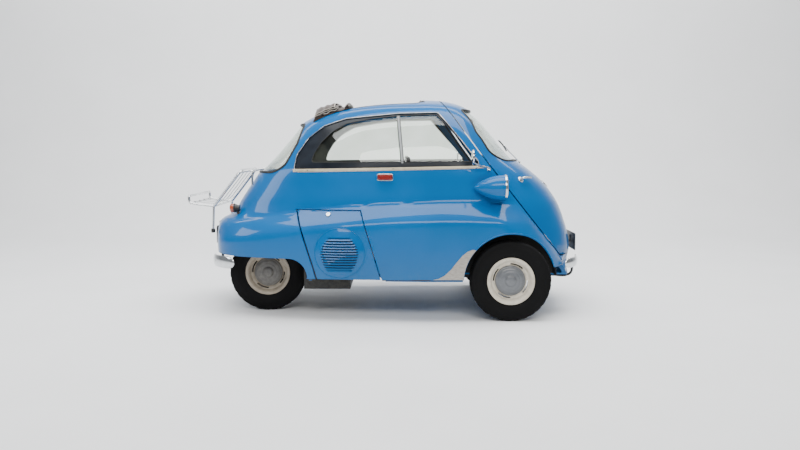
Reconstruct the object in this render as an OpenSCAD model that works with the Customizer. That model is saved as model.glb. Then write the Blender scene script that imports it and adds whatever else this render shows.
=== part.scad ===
// Bubble car: an egg-shaped two-seater with one front door, a folding fabric roof and a
// luggage rack. Millimetres. +X points forward, +Y to the car's left, +Z up, floor at Z = 0.

/* [Overall size] */
// Distance between the front and rear axles
wheelbase = 1500; // [1300:10:1800]
// From the front axle to the face of the front number plate
front_overhang = 487.5; // [450:2.5:600]
// From the rear axle to the end of the luggage rack
rear_overhang = 510; // [460:5:610]
// Width over the wings
body_w = 1380; // [1250:10:1660]
// Height of the roof above the floor
body_h = 1340; // [1200:10:1610]

/* [Shell] */
// Thickness of the body walls
wall = 24; // [18:1:30]
// Thickness of the front door
door_wall = 38; // [30:1:46]
// Gap around the door and the engine hatch
panel_gap = 7; // [6:0.5:9]
// Height over which the top of a wing rounds off
wing_crown = 120; // [100:5:145]
// Thickness of the window glass
glass_t = 5; // [4:0.5:6]

/* [Wheels] */
// Outer diameter of the tyres
tyre_d = 484; // [440:2:520]
// Width of the tyres
tyre_w = 116; // [100:2:126]
// Distance between the middles of the front tyres
front_track = 1200; // [1160:5:1240]
// Distance between the middles of the rear tyres
rear_track = 520; // [480:5:560]
// Gap between a tyre and the edge of the front wheel arch
arch_gap = 46; // [42:1:56]

/* [Steering] */
// Distance between the kingpins
king_spacing = 1030; // [1010:5:1045]
// Diameter of the steering wheel
steer_d = 380; // [320:5:400]

/* [Luggage rack] */
// Width of the rack over its side tubes
rack_w = 560; // [460:10:660]
// Diameter of the rack tubes
rack_tube = 18; // [14:1:22]

/* [Hidden] */

body_blue = "#2f93c8";
chrome = "#c9cdd1";
dark_metal = "#2b2c2e";
black_rubber = "#161616";
glass_tint = "#a9c4c4";
eps = 0.01;
run_fit = 0.08;
far = 4000;

// The standard car has a 1500 wheelbase, is 1380 wide and 1340 high. These three turn a
// place on it (x from the middle of the wheelbase) into a place on this car.
mid_x = (rear_overhang - front_overhang) / 2;
function at_x(v) = mid_x + v * wheelbase / 1500;
function at_y(v) = v * body_w / 1380;
function at_z(v) = v * body_h / 1340;

front_x = mid_x + wheelbase / 2;
rear_x = mid_x - wheelbase / 2;
plate_x = front_x + front_overhang;
rack_x = rear_x - rear_overhang;
wheel_z = tyre_d / 2;
arch_r = tyre_d / 2 + arch_gap;
king_y = king_spacing / 2;
sill_z = at_z(254);
floor_t = 10;
door_low_z = at_z(364);
roof_split_z = at_z(1252);

// ---------------------------------------------------------------- shape of the body skin
// Each row is a level of the egg: height, front x, rear x, half width without the wings.
// The plan of a level is a superellipse, blunter behind and low down.
levels = [
    [190, 1166, -1050, 572], [300, 1192, -1078, 586], [400, 1205, -1089, 596],
    [500, 1189, -1090, 601], [572, 1166, -1072, 604], [622, 1148, -990, 605],
    [700, 1111, -945, 604], [800, 1037, -878, 592], [890, 936, -813, 584],
    [985, 806, -723, 564], [1090, 720, -631, 528], [1190, 634, -541, 474],
    [1260, 558, -400, 410], [1300, 494, -212, 334], [1327, 408, 36, 216],
    [1337.5, 324, 170, 105], [1340, 264, 236, 12]];
wide_x = at_x(250);
front_power = 2.65;
rear_taper = 0.12;

// Smooth curve through the rows, s runs from 0 to the last row
function curve(p, q, r, t, f) =
    0.5 * (2 * q + (r - p) * f + (2 * p - 5 * q + 4 * r - t) * f * f
        + (3 * q - p - 3 * r + t) * f * f * f);
function level(s) =
    let (n = len(levels) - 1, i = min(floor(s), n - 1), f = s - i)
    let (c = curve(levels[max(i - 1, 0)], levels[i], levels[i + 1],
        levels[min(i + 2, n)], f))
    [at_z(c[0]), at_x(c[1]), at_x(c[2]), at_y(c[3]), 3.2 + 0.6 * ramp((700 - c[0]) / 150)];
// The row number s at the height z, found by halving
function row_at(z, lo = 0, hi = 16, n = 16) =
    n == 0 ? (lo + hi) / 2
    : let (m = (lo + hi) / 2)
    level(m)[0] < z ? row_at(z, m, hi, n - 1) : row_at(z, lo, m, n - 1);

// The door seam, a slightly bowed line that leans back
function seam_x(z) = let (h = z / at_z(1) - 800) at_x(731 - 0.79 * h + h * h / 10000);

// How far the wing stands out at x, z: a round crown on top, fading out at the door seam
function ramp(u) = let (c = min(max(u, 0), 1)) c * c * (3 - 2 * c);
function crown(u) = let (c = min(max(u, 0), 1)) sqrt(1 - (1 - c) * (1 - c));
function shoulder_z(x) = at_z(704) - at_z(150) * pow((x - at_x(420)) / wheelbase, 2);
function wing_share(x, z) =
    let (down = (shoulder_z(x) - z) / wing_crown, back = (seam_x(z) - x - 8) / 210)
    (0.4 * crown(down) + 0.6 * ramp(down)) * (0.5 * crown(back) + 0.5 * ramp(back));
// Half width at x, z, from the cabin's half width there and the wing's
function half_at(x, z, cabin, plan) =
    let (t = (x - wide_x) / wheelbase, k = wing_share(x, z),
        wing = body_w / 2 * (t > 0 ? 1 - 1.3 * pow(t, 4) : plan))
    cabin * plan * (1 - k) + wing * k;

// A point of the skin: s picks the level, a turns from the nose (0) over the left (90)
function skin_point(s, a) =
    let (l = level(s), ahead = cos(a) >= 0, p = ahead ? front_power : l[4],
        t = pow(abs(cos(a)), 2 / p),
        x = wide_x + t * (ahead ? l[1] - wide_x : l[2] - wide_x),
        plan = pow(abs(sin(a)), 2 / p) * (ahead ? 1 : 1 - rear_taper * t))
    [x, sign(sin(a)) * half_at(x, l[0], l[3], plan), l[0]];
// Half width of the body at x, z
function skin_y(x, z) =
    let (l = level(row_at(z)), ahead = x >= wide_x, p = ahead ? front_power : l[4],
        t = min(abs(x - wide_x) / (ahead ? l[1] - wide_x : wide_x - l[2]), 1))
    half_at(x, z, l[3], pow(1 - pow(t, p), 1 / p) * (ahead ? 1 : 1 - rear_taper * t));
// Front and rear x of the skin at half width y, height z, away from the wings
function nose_x(y, z) =
    let (l = level(row_at(z)))
    wide_x + (l[1] - wide_x) * pow(1 - pow(min(abs(y) / l[3], 1), front_power),
        1 / front_power);
function tail_x(y, z, lo = 0.3, n = 14) =
    let (l = level(row_at(z)), x = wide_x + (l[2] - wide_x) * lo,
        step = pow(0.5, 15 - n) * 1.4)
    n == 0 ? x : tail_x(y, z, min(skin_y(x, z) > abs(y) ? lo + step : lo - step, 1), n - 1);

rings = 40;
spokes = 52;
function even_angle(j) = 360 * j / spokes + 7 * sin(720 * j / spokes);
skin_grid = [for (i = [0:rings]) [for (j = [0:spokes - 1])
    skin_point(i * 16 / rings, even_angle(j))]];
function grid_normal(i, j) =
    let (up = skin_grid[min(i + 1, rings)][j] - skin_grid[max(i - 1, 0)][j],
        round = skin_grid[i][(j + 1) % spokes] - skin_grid[i][(j + spokes - 1) % spokes],
        n = cross(round, up))
    i >= rings - 1 ? [0, 0, 1] : n / norm(n);
normal_grid = [for (i = [0:rings]) [for (j = [0:spokes - 1]) grid_normal(i, j)]];

// Closed solid inside the skin, shrunk by the depth (a negative depth swells it)
module egg(depth = 0) {
    points = [for (i = [0:rings]) for (j = [0:spokes - 1])
        let (p = skin_grid[i][j] - depth * normal_grid[i][j])
        i == 0 ? [p[0], p[1], at_z(levels[0][0])] : p];
    sides = [for (i = [0:rings - 1]) for (j = [0:spokes - 1])
        let (a = i * spokes + j, b = i * spokes + (j + 1) % spokes)
        each [[a, a + spokes, b + spokes], [a, b + spokes, b]]];
    low_cap = [[for (j = [0:spokes - 1]) j]];
    top_cap = [[for (j = [0:spokes - 1]) rings * spokes + spokes - 1 - j]];
    polyhedron(points, concat(sides, low_cap, top_cap), convexity = 6);
}

// Wall between two depths. The empty resize keeps the cut shell as one smooth mesh.
module shell(outer, inner) {
    difference() {
        egg(outer);
        egg(inner);
    }
}
module as_mesh() resize([0, 0, 0]) children();

// A drawing in the XZ plane pushed through the whole width, or through one side only
module across(y0 = -far, y1 = far)
    translate([0, y1, 0]) rotate([90, 0, 0]) linear_extrude(height = y1 - y0) children();
// A drawing in the YZ plane pushed along the car
module along(x0 = -far, x1 = far)
    translate([x0, 0, 0]) rotate([90, 0, 90]) linear_extrude(height = x1 - x0) children();

seam_steps = [for (z = [-100:60:1500]) at_z(z)];
// Everything ahead of the seam, moved forward by the shift (negative moves it back)
module ahead_of_seam(shift)
    across() polygon(concat([for (z = seam_steps) [seam_x(z) + shift, z]],
        [[far, at_z(1500)], [far, at_z(-100)]]));
seam_shift = panel_gap / 2 / 0.79;

function arc(cx, cy, r, a0, a1, n) =
    [for (k = [0:n]) let (a = a0 + (a1 - a0) * k / n) [cx + r * cos(a), cy + r * sin(a)]];

// ------------------------------------------------------------------------- body openings
// Outline of the two panes in a side, front edge parallel to the door seam
module side_window_outline() {
    round_r = at_z(26);
    offset(r = round_r) offset(delta = -round_r)
        polygon([[at_x(-558), at_z(886)], [at_x(588), at_z(912)], [at_x(322), at_z(1243)],
            [at_x(92), at_z(1239)], [at_x(-240), at_z(1208)], [at_x(-372), at_z(1165)],
            [at_x(-470), at_z(1092)], [at_x(-540), at_z(990)]]);
}
// The bar between the front and rear panes
module pane_divider() {
    bar = 11;
    polygon([[at_x(112) - bar, at_z(860)], [at_x(112) + bar, at_z(860)],
        [at_x(76) + bar, at_z(1280)], [at_x(76) - bar, at_z(1280)]]);
}
module side_pane_outline()
    difference() {
        side_window_outline();
        pane_divider();
    }
// Wrap-round rear window, seen from behind
module rear_window_outline() {
    round_r = at_z(46);
    right = [[at_y(-416), at_z(880)], [at_y(-347), at_z(1060)], [at_y(-272), at_z(1160)],
        [at_y(-236), at_z(1180)]];
    offset(r = round_r) offset(delta = -round_r)
        polygon(concat(right, [for (k = [len(right) - 1:-1:0]) [-right[k][0], right[k][1]]]));
}
// Windscreen, seen from the front
module windscreen_outline() {
    round_r = at_z(60);
    offset(r = round_r) offset(delta = -round_r)
        polygon([[at_y(-468), at_z(952)], [at_y(468), at_z(952)], [at_y(425), at_z(1130)],
            [at_y(330), at_z(1268)], [at_y(-330), at_z(1268)], [at_y(-425), at_z(1130)]]);
}
// Opening for the folding roof, seen from above
module roof_outline() {
    round_r = at_y(60);
    offset(r = round_r) offset(delta = -round_r)
        polygon([[at_x(-345), at_y(-285)], [at_x(225), at_y(-300)],
            [at_x(225), at_y(300)], [at_x(-345), at_y(285)]]);
}
// Everything below the lower edge of the body: front wing, sill, then a step up over the
// rear wheels
wing_low_z = at_z(316);
module under_body() {
    corner = at_z(120);
    step_x = at_x(-470);
    tail_z = at_z(376);
    across() polygon(concat([[-far, -far], [far, -far], [far, wing_low_z],
        [front_x, wing_low_z], [front_x, sill_z], [step_x, sill_z]],
        [for (p = arc(step_x - corner * 0.9, tail_z - corner, corner, 0, 90, 6)) p],
        [[-far, tail_z]]));
}
// Round opening in a front wing
module arch_hole(side, r, y_in)
    translate([front_x, side > 0 ? y_in : -far, wheel_z]) rotate([-90, 0, 0])
        cylinder(r = r, h = far - (side > 0 ? 0 : y_in), $fn = 72);
arch_in_y = king_y - tyre_w - at_y(4);

// The slanting joint between a side panel and the rear panel
module behind_rear_joint()
    across() polygon([[-far, -10], [at_x(-950), -10], [at_x(-390), at_z(1400)],
        [-far, at_z(1400)]]);

// The engine hatch, a leaning panel in the right side
hatch_low = [at_x(-404), at_x(-24)];
hatch_high = [at_x(-532), at_x(-146)];
hatch_low_z = sill_z;
hatch_top_z = at_z(656);
// The panel's rear edge keeps a little more room, as it swings past the opening's
module hatch_outline(grow)
    offset(delta = grow) polygon([[hatch_low[0], hatch_low_z], [hatch_low[1], hatch_low_z],
        [hatch_high[1], hatch_top_z], [hatch_high[0], hatch_top_z]]);
module hatch_panel_outline()
    intersection() {
        hatch_outline(0);
        translate([4, 0]) hatch_outline(0);
    }

// ------------------------------------------------------------------------------ the body
module side_half(side) {
    as_mesh() difference() {
        intersection() {
            shell(0, wall);
            translate([-far / 2, side > 0 ? 0 : -far, sill_z])
                cube([far, far, roof_split_z - sill_z]);
        }
        ahead_of_seam(-seam_shift);
        behind_rear_joint();
        under_body();
        arch_hole(side, arch_r, 0);
        across() side_pane_outline();
        along(-far, 0) rear_window_outline();
        if (side < 0) across(-far, 0) hatch_outline(panel_gap);
        apron_zone();
    }
}
module body_side_left() color(body_blue) side_half(1);
module body_side_right() color(body_blue) side_half(-1);

module roof_frame()
    color(body_blue) as_mesh() difference() {
        intersection() {
            shell(0, wall);
            translate([-far / 2, -far / 2, roof_split_z]) cube([far, far, far]);
        }
        ahead_of_seam(-seam_shift);
        behind_rear_joint();
        linear_extrude(height = far) roof_outline();
    }

module rear_panel()
    color(body_blue) as_mesh() difference() {
        intersection() {
            shell(0, wall);
            behind_rear_joint();
            translate([-far / 2, -far / 2, sill_z]) cube([far, far, far]);
        }
        under_body();
        along(-far, 0) rear_window_outline();
    }

// Middle of the nose below the door, between the front wheels
module apron_zone()
    translate([front_x + 20, -arch_in_y, 0]) cube([far, 2 * arch_in_y, door_low_z - panel_gap]);

// Seat box, front apron and footwell in one pressing
seat_front = at_x(250);
seat_back = at_x(-190);
seat_half = at_y(500);
seat_box_z = at_z(330);
seat_box_len = at_x(395) - mid_x;
floor_z = sill_z - floor_t;
module floor_pan() {
    rim = 5;
    color(body_blue) as_mesh() {
        difference() {
            intersection() {
                egg(rim);
                translate([at_x(-452), -far / 2, floor_z]) cube([far, far, floor_t]);
            }
            for (side = [-1, 1])
                translate([front_x - arch_r, side > 0 ? arch_in_y : -far, 0])
                    cube([far, far - (side > 0 ? 0 : arch_in_y), far]);
            engine_bay();
            // room for the lower edge of the opening hatch
            translate([hatch_low[0] - 30, -far, 0])
                cube([hatch_low[1] - hatch_low[0] + 60, far - at_y(530), far]);
        }
        // front apron below the door
        intersection() {
            shell(0, wall);
            apron_zone();
            translate([0, -far / 2, floor_z]) cube(far);
        }
        // box that carries the seat
        difference() {
            translate([seat_back, -seat_half, sill_z - eps])
                cube([seat_box_len, 2 * seat_half, seat_box_z - sill_z]);
            translate([seat_back - eps, -seat_half + floor_t, sill_z - 1])
                cube([seat_box_len - floor_t, 2 * (seat_half - floor_t),
                    seat_box_z - sill_z - floor_t]);
        }
    }
}
// Space of the engine: the floor is open there
module engine_bay()
    translate([at_x(-600), -at_y(560), 0]) cube([at_x(400) - mid_x, at_y(1120), sill_z + 1]);

deck_z = at_z(672);
deck_t = 10;
module rear_deck()
    color(body_blue) as_mesh() difference() {
        intersection() {
            egg(wall + 1);
            union() {
                translate([seat_back - deck_t, -far / 2, sill_z])
                    cube([deck_t, far, deck_z - sill_z]);
                translate([-far, -far / 2, deck_z]) cube([far + seat_back, far, deck_t]);
            }
        }
        // clear of the hatch
        across(-far, -at_y(535)) hatch_outline(panel_gap);
    }

// Sheet-metal housings that keep the front wheels out of the cabin
module front_wheel_arches() {
    sheet = 4;
    outer = arch_r + at_z(10);
    color(dark_metal) as_mesh() intersection() {
        egg(wall + 1);
        translate([0, 0, sill_z + far / 2]) cube([2 * far, 2 * far, far], center = true);
        for (side = [-1, 1])
            difference() {
                translate([front_x, side > 0 ? arch_in_y : -far, wheel_z]) rotate([-90, 0, 0])
                    cylinder(r = outer, h = far - (side > 0 ? 0 : arch_in_y), $fn = 72);
                translate([front_x, side > 0 ? arch_in_y + sheet : -far, wheel_z])
                    rotate([-90, 0, 0])
                    cylinder(r = outer - sheet, h = far - (side > 0 ? 0 : arch_in_y + sheet),
                        $fn = 72);
                ahead_of_seam(-seam_shift - 8);
            }
    }
}

// ------------------------------------------------------------------------------- chassis
rail_y = at_y(230);
rail_r = 21;
rail_z = floor_z - 4 - rail_r;
beam_r = 24;
flange = 46;
spring_y = at_y(115);
cross_x = at_x(-165);
anchor_x = at_x(-480);
front_end = front_x + at_x(300) - mid_x;
module tube(p, q, r, n = 24) {
    d = q - p;
    translate(p) rotate([0, acos(d[2] / norm(d)), atan2(d[1], d[0])])
        cylinder(r = r, h = norm(d), $fn = n);
}
module chassis_frame() color(dark_metal) {
    for (side = [-1, 1]) {
        tube([cross_x, side * rail_y, rail_z], [front_x - flange, side * rail_y, rail_z],
            rail_r);
        tube([front_x + flange, side * rail_y, rail_z], [front_end, side * rail_y, rail_z],
            rail_r);
        // rear arm under the gearbox, with the pad for the spring
        tube([anchor_x, side * spring_y, rail_z], [cross_x, side * spring_y, rail_z], rail_r);
        translate([anchor_x, side * spring_y - 22, rail_z]) cube([60, 44, 28]);
        // pads under the floor
        for (x = [seat_front, front_x - at_x(180) + mid_x, front_x + at_x(170) - mid_x])
            translate([x - 25, side * rail_y - 20, rail_z])
                cube([50, 40, floor_z - rail_z]);
    }
    for (x = [cross_x, seat_front])
        tube([x, -rail_y, rail_z], [x, rail_y, rail_z], rail_r - 2);
    tube([front_end - 30, -rail_y, rail_z], [front_end - 30, rail_y, rail_z], rail_r - 2);
}

king_r = 11;
barrel_h = 56;
module front_axle_beam() color(dark_metal) {
    difference() {
        union() {
            tube([front_x, -king_y, rail_z], [front_x, king_y, rail_z], beam_r);
            for (side = [-1, 1]) {
                translate([front_x, side * king_y, rail_z - barrel_h / 2])
                    cylinder(r = beam_r + 2, h = barrel_h, $fn = 32);
                translate([front_x - flange, side * rail_y - 30, rail_z - 26])
                    cube([2 * flange, 60, 49]);
            }
        }
        for (side = [-1, 1])
            translate([front_x, side * king_y, rail_z - barrel_h])
                cylinder(r = king_r + run_fit, h = 2 * barrel_h, $fn = 32);
    }
}

// Knuckle: fork around the barrel, kingpin, stub axle, brake drum and steering arm
fork_t = 16;
fork_gap = 1.5;
arm_back = 118;
arm_in = 0;
arm_z = rail_z - barrel_h / 2 - fork_gap - fork_t;
hub_y = front_track / 2 - 34;
drum_r = 92;
module steering_knuckle(side) {
    low = arm_z;
    high = rail_z + barrel_h / 2 + fork_gap;
    web_y = beam_r + 8;
    color(dark_metal) translate([front_x, side * king_y, 0]) scale([1, side, 1]) {
        translate([0, 0, low]) cylinder(r = king_r, h = high + fork_t - low, $fn = 32);
        for (z = [low, high]) {
            translate([0, 0, z]) cylinder(r = 22, h = fork_t, $fn = 32);
            translate([-18, 0, z]) cube([36, web_y, fork_t]);
        }
        translate([-18, web_y - eps, low])
            cube([36, 12, max(high + fork_t, wheel_z + 24) - low]);
        // stub axle into the hub
        translate([0, web_y, wheel_z]) rotate([-90, 0, 0])
            cylinder(r = 15, h = hub_y - king_y - web_y + 24, $fn = 32);
        // brake back plate
        translate([0, web_y + 12 - eps, wheel_z]) rotate([-90, 0, 0])
            cylinder(r = drum_r, h = 5, $fn = 48);
        // steering arm
        translate([-arm_back, -14, low]) cube([arm_back, 28, 12]);
        translate([-arm_back, 0, low]) cylinder(r = 17, h = 12, $fn = 32);
        translate([-arm_back, 0, low - 22]) cylinder(r = 8, h = 24, $fn = 24);
    }
}
module steering_knuckle_left() steering_knuckle(1);
module steering_knuckle_right() steering_knuckle(-1);

rod_z = arm_z - 16;
module tie_rod() color(dark_metal) {
    difference() {
        union() {
            tube([front_x - arm_back, -king_y, rod_z], [front_x - arm_back, king_y, rod_z], 9);
            for (side = [-1, 1])
                translate([front_x - arm_back, side * king_y, rod_z - 9])
                    cylinder(r = 16, h = 18, $fn = 32);
        }
        for (side = [-1, 1])
            translate([front_x - arm_back, side * king_y, rod_z - 20])
                cylinder(r = 8 + run_fit, h = 40, $fn = 32);
    }
}

// ---------------------------------------------------------------------------- the wheels
rim_r = tyre_d * 0.262;
cap_r = tyre_d * 0.188;
// Outline of the tyre: bead, bulged side wall, shoulder and tread, then mirrored
module tyre_outline() {
    half = tyre_w / 2;
    out_r = tyre_d / 2;
    edge = tyre_w * 0.17;
    bead_r = rim_r + 15;
    side_curve = concat([[rim_r, half * 0.8]], [for (k = [0:6]) let (u = k / 6)
        [bead_r + (out_r - edge - bead_r) * u, half * (0.8 + 0.2 * sin(155 * u))]]);
    shoulder = arc(out_r - edge - 2, half * 0.92 - edge, edge, 70, 8, 4);
    right = concat(side_curve, shoulder, [[out_r, half * 0.35]]);
    polygon(concat(right, [for (k = [len(right) - 1:-1:0]) [right[k][0], -right[k][1]]]));
}
// Turns a wheel part made around Z so that its outer face looks outwards on that side
module wheel_at(x, y, side) translate([x, y, wheel_z]) rotate([-90 * side, 0, 0]) children();
module tyre() color(black_rubber) rotate_extrude($fn = 72) tyre_outline();

// Rim with its slotted disc and hub cap, outer face towards +Z
module road_wheel(bore_r) {
    half = tyre_w / 2;
    lip = half * 0.80;
    disc_z = 14;
    difference() {
        union() {
            color("#e4dcc6") rotate_extrude($fn = 72) polygon([
                [rim_r, -lip], [rim_r, lip], [rim_r + 14, lip], [rim_r + 14, lip + 4],
                [rim_r - 5, lip + 4], [rim_r - 12, lip - 4], [rim_r - 16, disc_z + 14],
                [cap_r + 6, disc_z + 8], [cap_r, disc_z], [0, disc_z], [0, disc_z - 6],
                [cap_r + 2, disc_z - 6], [rim_r - 24, disc_z + 4], [rim_r - 18, -10],
                [rim_r - 8, -14], [rim_r - 8, -lip]]);
            // domed hub cap with a raised centre boss
            color(chrome) translate([0, 0, disc_z - eps]) rotate_extrude($fn = 48) polygon([
                [0, 0], [cap_r, 0], [cap_r, 6], [cap_r * 0.94, 12], [cap_r * 0.8, 17],
                [cap_r * 0.5, 22], [cap_r * 0.36, 23], [cap_r * 0.33, 29],
                [cap_r * 0.24, 34], [0, 35]]);
            color(dark_metal) translate([0, 0, -30]) cylinder(r = 38, h = 30 + disc_z, $fn = 32);
        }
        for (k = [0:3]) rotate([0, 0, 90 * k + 45]) translate([0, 0, -5])
            rotate_extrude(angle = 46, $fn = 72)
                translate([cap_r + 5, 0]) square([rim_r - cap_r - 26, 50]);
        translate([0, 0, -40]) cylinder(r = bore_r, h = 40 + 8, $fn = 32);
    }
}
module front_tyre(side) wheel_at(front_x, side * front_track / 2, side) tyre();
module front_wheel(side) wheel_at(front_x, side * front_track / 2, side) road_wheel(15 + run_fit);
module tyre_front_left() front_tyre(1);
module tyre_front_right() front_tyre(-1);
module wheel_front_left() front_wheel(1);
module wheel_front_right() front_wheel(-1);
module rear_tyres() for (side = [-1, 1]) wheel_at(rear_x, side * rear_track / 2, side) tyre();
shaft_r = 17;
module rear_wheels() {
    for (side = [-1, 1]) wheel_at(rear_x, side * rear_track / 2, side) road_wheel(2);
    color(dark_metal) tube([rear_x, -rear_track / 2 + 10, wheel_z],
        [rear_x, rear_track / 2 - 10, wheel_z], shaft_r, 32);
}

// ------------------------------------------------------------------- engine and rear axle
case_half = 34;
engine_x0 = at_x(-500);
engine_x1 = at_x(-215);
engine_y = [at_y(-470), at_y(-152)];
bridge_z = rail_z + rail_r + at_z(10);
module engine_block() color(dark_metal) {
    box_len = at_x(180) - mid_x;
    difference() {
        union() {
            translate([engine_x0, engine_y[0], at_z(165)])
                cube([engine_x1 - engine_x0, engine_y[1] - engine_y[0], at_z(385)]);
            // chain case from the gearbox back to the axle
            translate([rear_x, case_half, wheel_z]) rotate([90, 0, 0])
                cylinder(r = 88, h = 2 * case_half, $fn = 48);
            translate([rear_x, -case_half, wheel_z - 60])
                cube([engine_x0 - rear_x + 5, 2 * case_half, 120]);
            // gearbox between the frame arms, and its bridge over the right one
            translate([engine_x0, -at_y(84), at_z(165)])
                cube([box_len, at_y(84) + case_half, at_z(210)]);
            translate([anchor_x + 75, engine_y[1] - 5, bridge_z])
                cube([engine_x0 + box_len - anchor_x - 75, -engine_y[1], at_z(375) - bridge_z]);
        }
        translate([rear_x, -case_half - 10, wheel_z]) rotate([-90, 0, 0])
            cylinder(r = shaft_r + run_fit, h = 2 * case_half + 20, $fn = 32);
    }
}

// Quarter springs from pads on the frame arms back to clamps on the axle
module rear_springs() color(dark_metal) {
    spring_z = rail_z + 28;
    pack_z = spring_z + 22;
    for (side = [-1, 1]) translate([0, side * spring_y, 0]) difference() {
        union() {
            translate([rear_x - 30, -20, wheel_z - 32]) cube([60, 40, pack_z - wheel_z + 54]);
            for (k = [0:3])
                translate([rear_x + 20 + 46 * k, -20, pack_z - 5 + 6 * k])
                    cube([anchor_x + 60 - rear_x - 20 - 46 * k, 40, 6 + eps]);
            translate([anchor_x, -22, spring_z]) cube([60, 44, 52]);
        }
        translate([rear_x, -40, wheel_z]) rotate([-90, 0, 0])
            cylinder(r = shaft_r + run_fit, h = 80, $fn = 32);
    }
}

module exhaust() color("#5a5048") {
    can_x = rear_x + tyre_d / 2 + 74;
    can_z = at_z(200);
    pipe_z = at_z(172);
    translate([can_x, spring_y + 34, can_z]) rotate([-90, 0, 0])
        cylinder(r = 58, h = at_y(270), $fn = 40);
    tube([can_x, case_half + 1, pipe_z], [can_x, spring_y + 40, pipe_z], 14);
    tube([can_x, at_y(400), can_z], [at_x(-1050), at_y(400), at_z(232)], 13);
}

// ---------------------------------------------------------------------------------- trim
module side_windows()
    color(glass_tint) as_mesh() for (side = [-1, 1]) intersection() {
        shell(9, 9 + glass_t);
        across(side > 0 ? 10 : -far, side > 0 ? far : -10) side_pane_outline();
        translate([-far / 2, -far / 2, 0]) cube([far, far, roof_split_z]);
    }
module rear_window()
    color(glass_tint) as_mesh() intersection() {
        shell(9, 9 + glass_t);
        along(-far, 0) rear_window_outline();
    }

// The opened fabric roof: a thick pack of folds over the rear edge of its opening, and the
// front bow in a thinner roll ahead of it
module folded_roof() {
    half = at_y(312);
    module ply(v0, v1, thick) intersection() {
        shell(-thick, -2);
        translate([at_x(v0), -half, 0]) cube([at_x(v1) - at_x(v0), 2 * half, far]);
    }
    color("#3b3430") as_mesh() {
        ply(-452, -288, at_z(48));
        ply(-300, -212, at_z(28));
    }
}

// Bullet lamp pods on the front corners of the body, and their lenses
pod_z = at_z(796);
pod_r = 75;
pod_y = body_w / 2 - pod_r - 4;
pod_front = at_x(712);
pod_len = 186;
module pod_profile() polygon(concat([[0, 0], [pod_r, 0], [pod_r, -12]],
    [for (k = [0:8]) let (u = k / 8)
        [pod_r * 0.97 * pow(cos(90 * u), 0.75) + 0.2, -12 - (pod_len - 12) * pow(u, 0.9)]]));
module headlamp_pods() {
    color(body_blue) as_mesh() for (side = [-1, 1])
        difference() {
            translate([pod_front, side * pod_y, pod_z]) rotate([0, 90, 0])
                rotate_extrude($fn = 40) pod_profile();
            egg(-1);
        }
}
module headlamp_lenses() color("#dfe6e8") as_mesh() for (side = [-1, 1]) difference() {
    translate([pod_front, side * pod_y, pod_z]) rotate([0, 90, 0])
        rotate_extrude($fn = 48) polygon(concat([[0, 0], [pod_r + 3, 0], [pod_r + 3, 9],
            [pod_r - 7, 13]], arc(0, 13 - 120, sqrt(120 * 120 + pow(pod_r - 7, 2)), 62, 90, 5)));
    egg(-2);
}

module side_indicators() color("#c4431c") for (side = [-1, 1]) {
    x = at_x(2);
    z = at_z(856);
    y = skin_y(x, z - 21) + 4;
    translate([x - 47, side > 0 ? y : -y - 20, z - 21]) cube([94, 20, 42]);
}

mirror_at = [at_x(520), at_y(640), at_z(975)];
module mirrors() color(chrome) for (side = [-1, 1]) {
    head = [mirror_at[0], side * mirror_at[1], mirror_at[2]];
    foot_z = at_z(905);
    foot_x = seam_x(foot_z) - 26;
    foot = [foot_x, side * (skin_y(foot_x, foot_z) + 7), foot_z];
    translate(head) rotate([0, 90, 0]) translate([0, 0, -8]) cylinder(r = 46, h = 14, $fn = 40);
    tube(foot, head, 5, 16);
    translate(foot) rotate([-90 * side, 0, 0]) cylinder(r = 10, h = 6, $fn = 24);
}

// Plan curve of a bumper: the body's own egg, held off by the reach
function bumper_point(y, tip, half, power) =
    [wide_x + (tip - wide_x) * pow(1 - pow(min(abs(y) / half, 1), power), 1 / power), y];
module bumper_bar(tip, half, power, y0, y1, thick) {
    steps = [for (k = [0:10]) y0 + (y1 - y0) * k / 10];
    inward = tip > 0 ? -thick : thick;
    polygon(concat([for (y = steps) bumper_point(y, tip, half, power)],
        [for (k = [10:-1:0]) bumper_point(steps[k], tip + inward, half - thick, power)]));
}
bumper_low = at_z(292);
bumper_h = at_z(62);
bar_t = 14;
front_bar_x = plate_x - 4;
module front_bumper() color(chrome) for (side = [-1, 1]) {
    half = at_y(575);
    post_y = at_y(262);
    post_x = bumper_point(post_y, front_bar_x, half, 4.5)[0] - bar_t - 14;
    translate([0, 0, bumper_low]) linear_extrude(height = bumper_h)
        bumper_bar(front_bar_x, half, 4.5, side * at_y(225), side * at_y(482), bar_t);
    // stay from the frame's cross tube, under the nose and up behind the bar
    translate([front_end + 1, side * post_y - 12, rail_z - 11])
        cube([post_x + 16 - front_end - 1, 24, 20]);
    translate([post_x, side * post_y - 12, rail_z - 11])
        cube([16, 24, bumper_low + bumper_h - 20 - rail_z + 11]);
    translate([front_end + 1, side * rail_y - 14, rail_z - 11])
        cube([20, post_y - rail_y + 20, 20]);
}
module rear_bumper() color(chrome) for (side = [-1, 1]) {
    tip = at_x(-1122);
    half = at_y(620);
    iron_y = at_y(372);
    iron_x = bumper_point(iron_y, tip, half, 3.8)[0] + bar_t - 2;
    tail = tail_x(iron_y, at_z(392));
    translate([0, 0, at_z(290)]) linear_extrude(height = at_z(76))
        bumper_bar(tip, half, 3.8, side * at_y(290), side * at_y(500), bar_t);
    translate([iron_x, side * iron_y - 12, at_z(322)]) cube([tail + 20 - iron_x, 24, 18]);
    translate([tail + 3, side * iron_y - 12, at_z(322)])
        cube([17, 24, at_z(375) - at_z(322)]);
}

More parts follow.
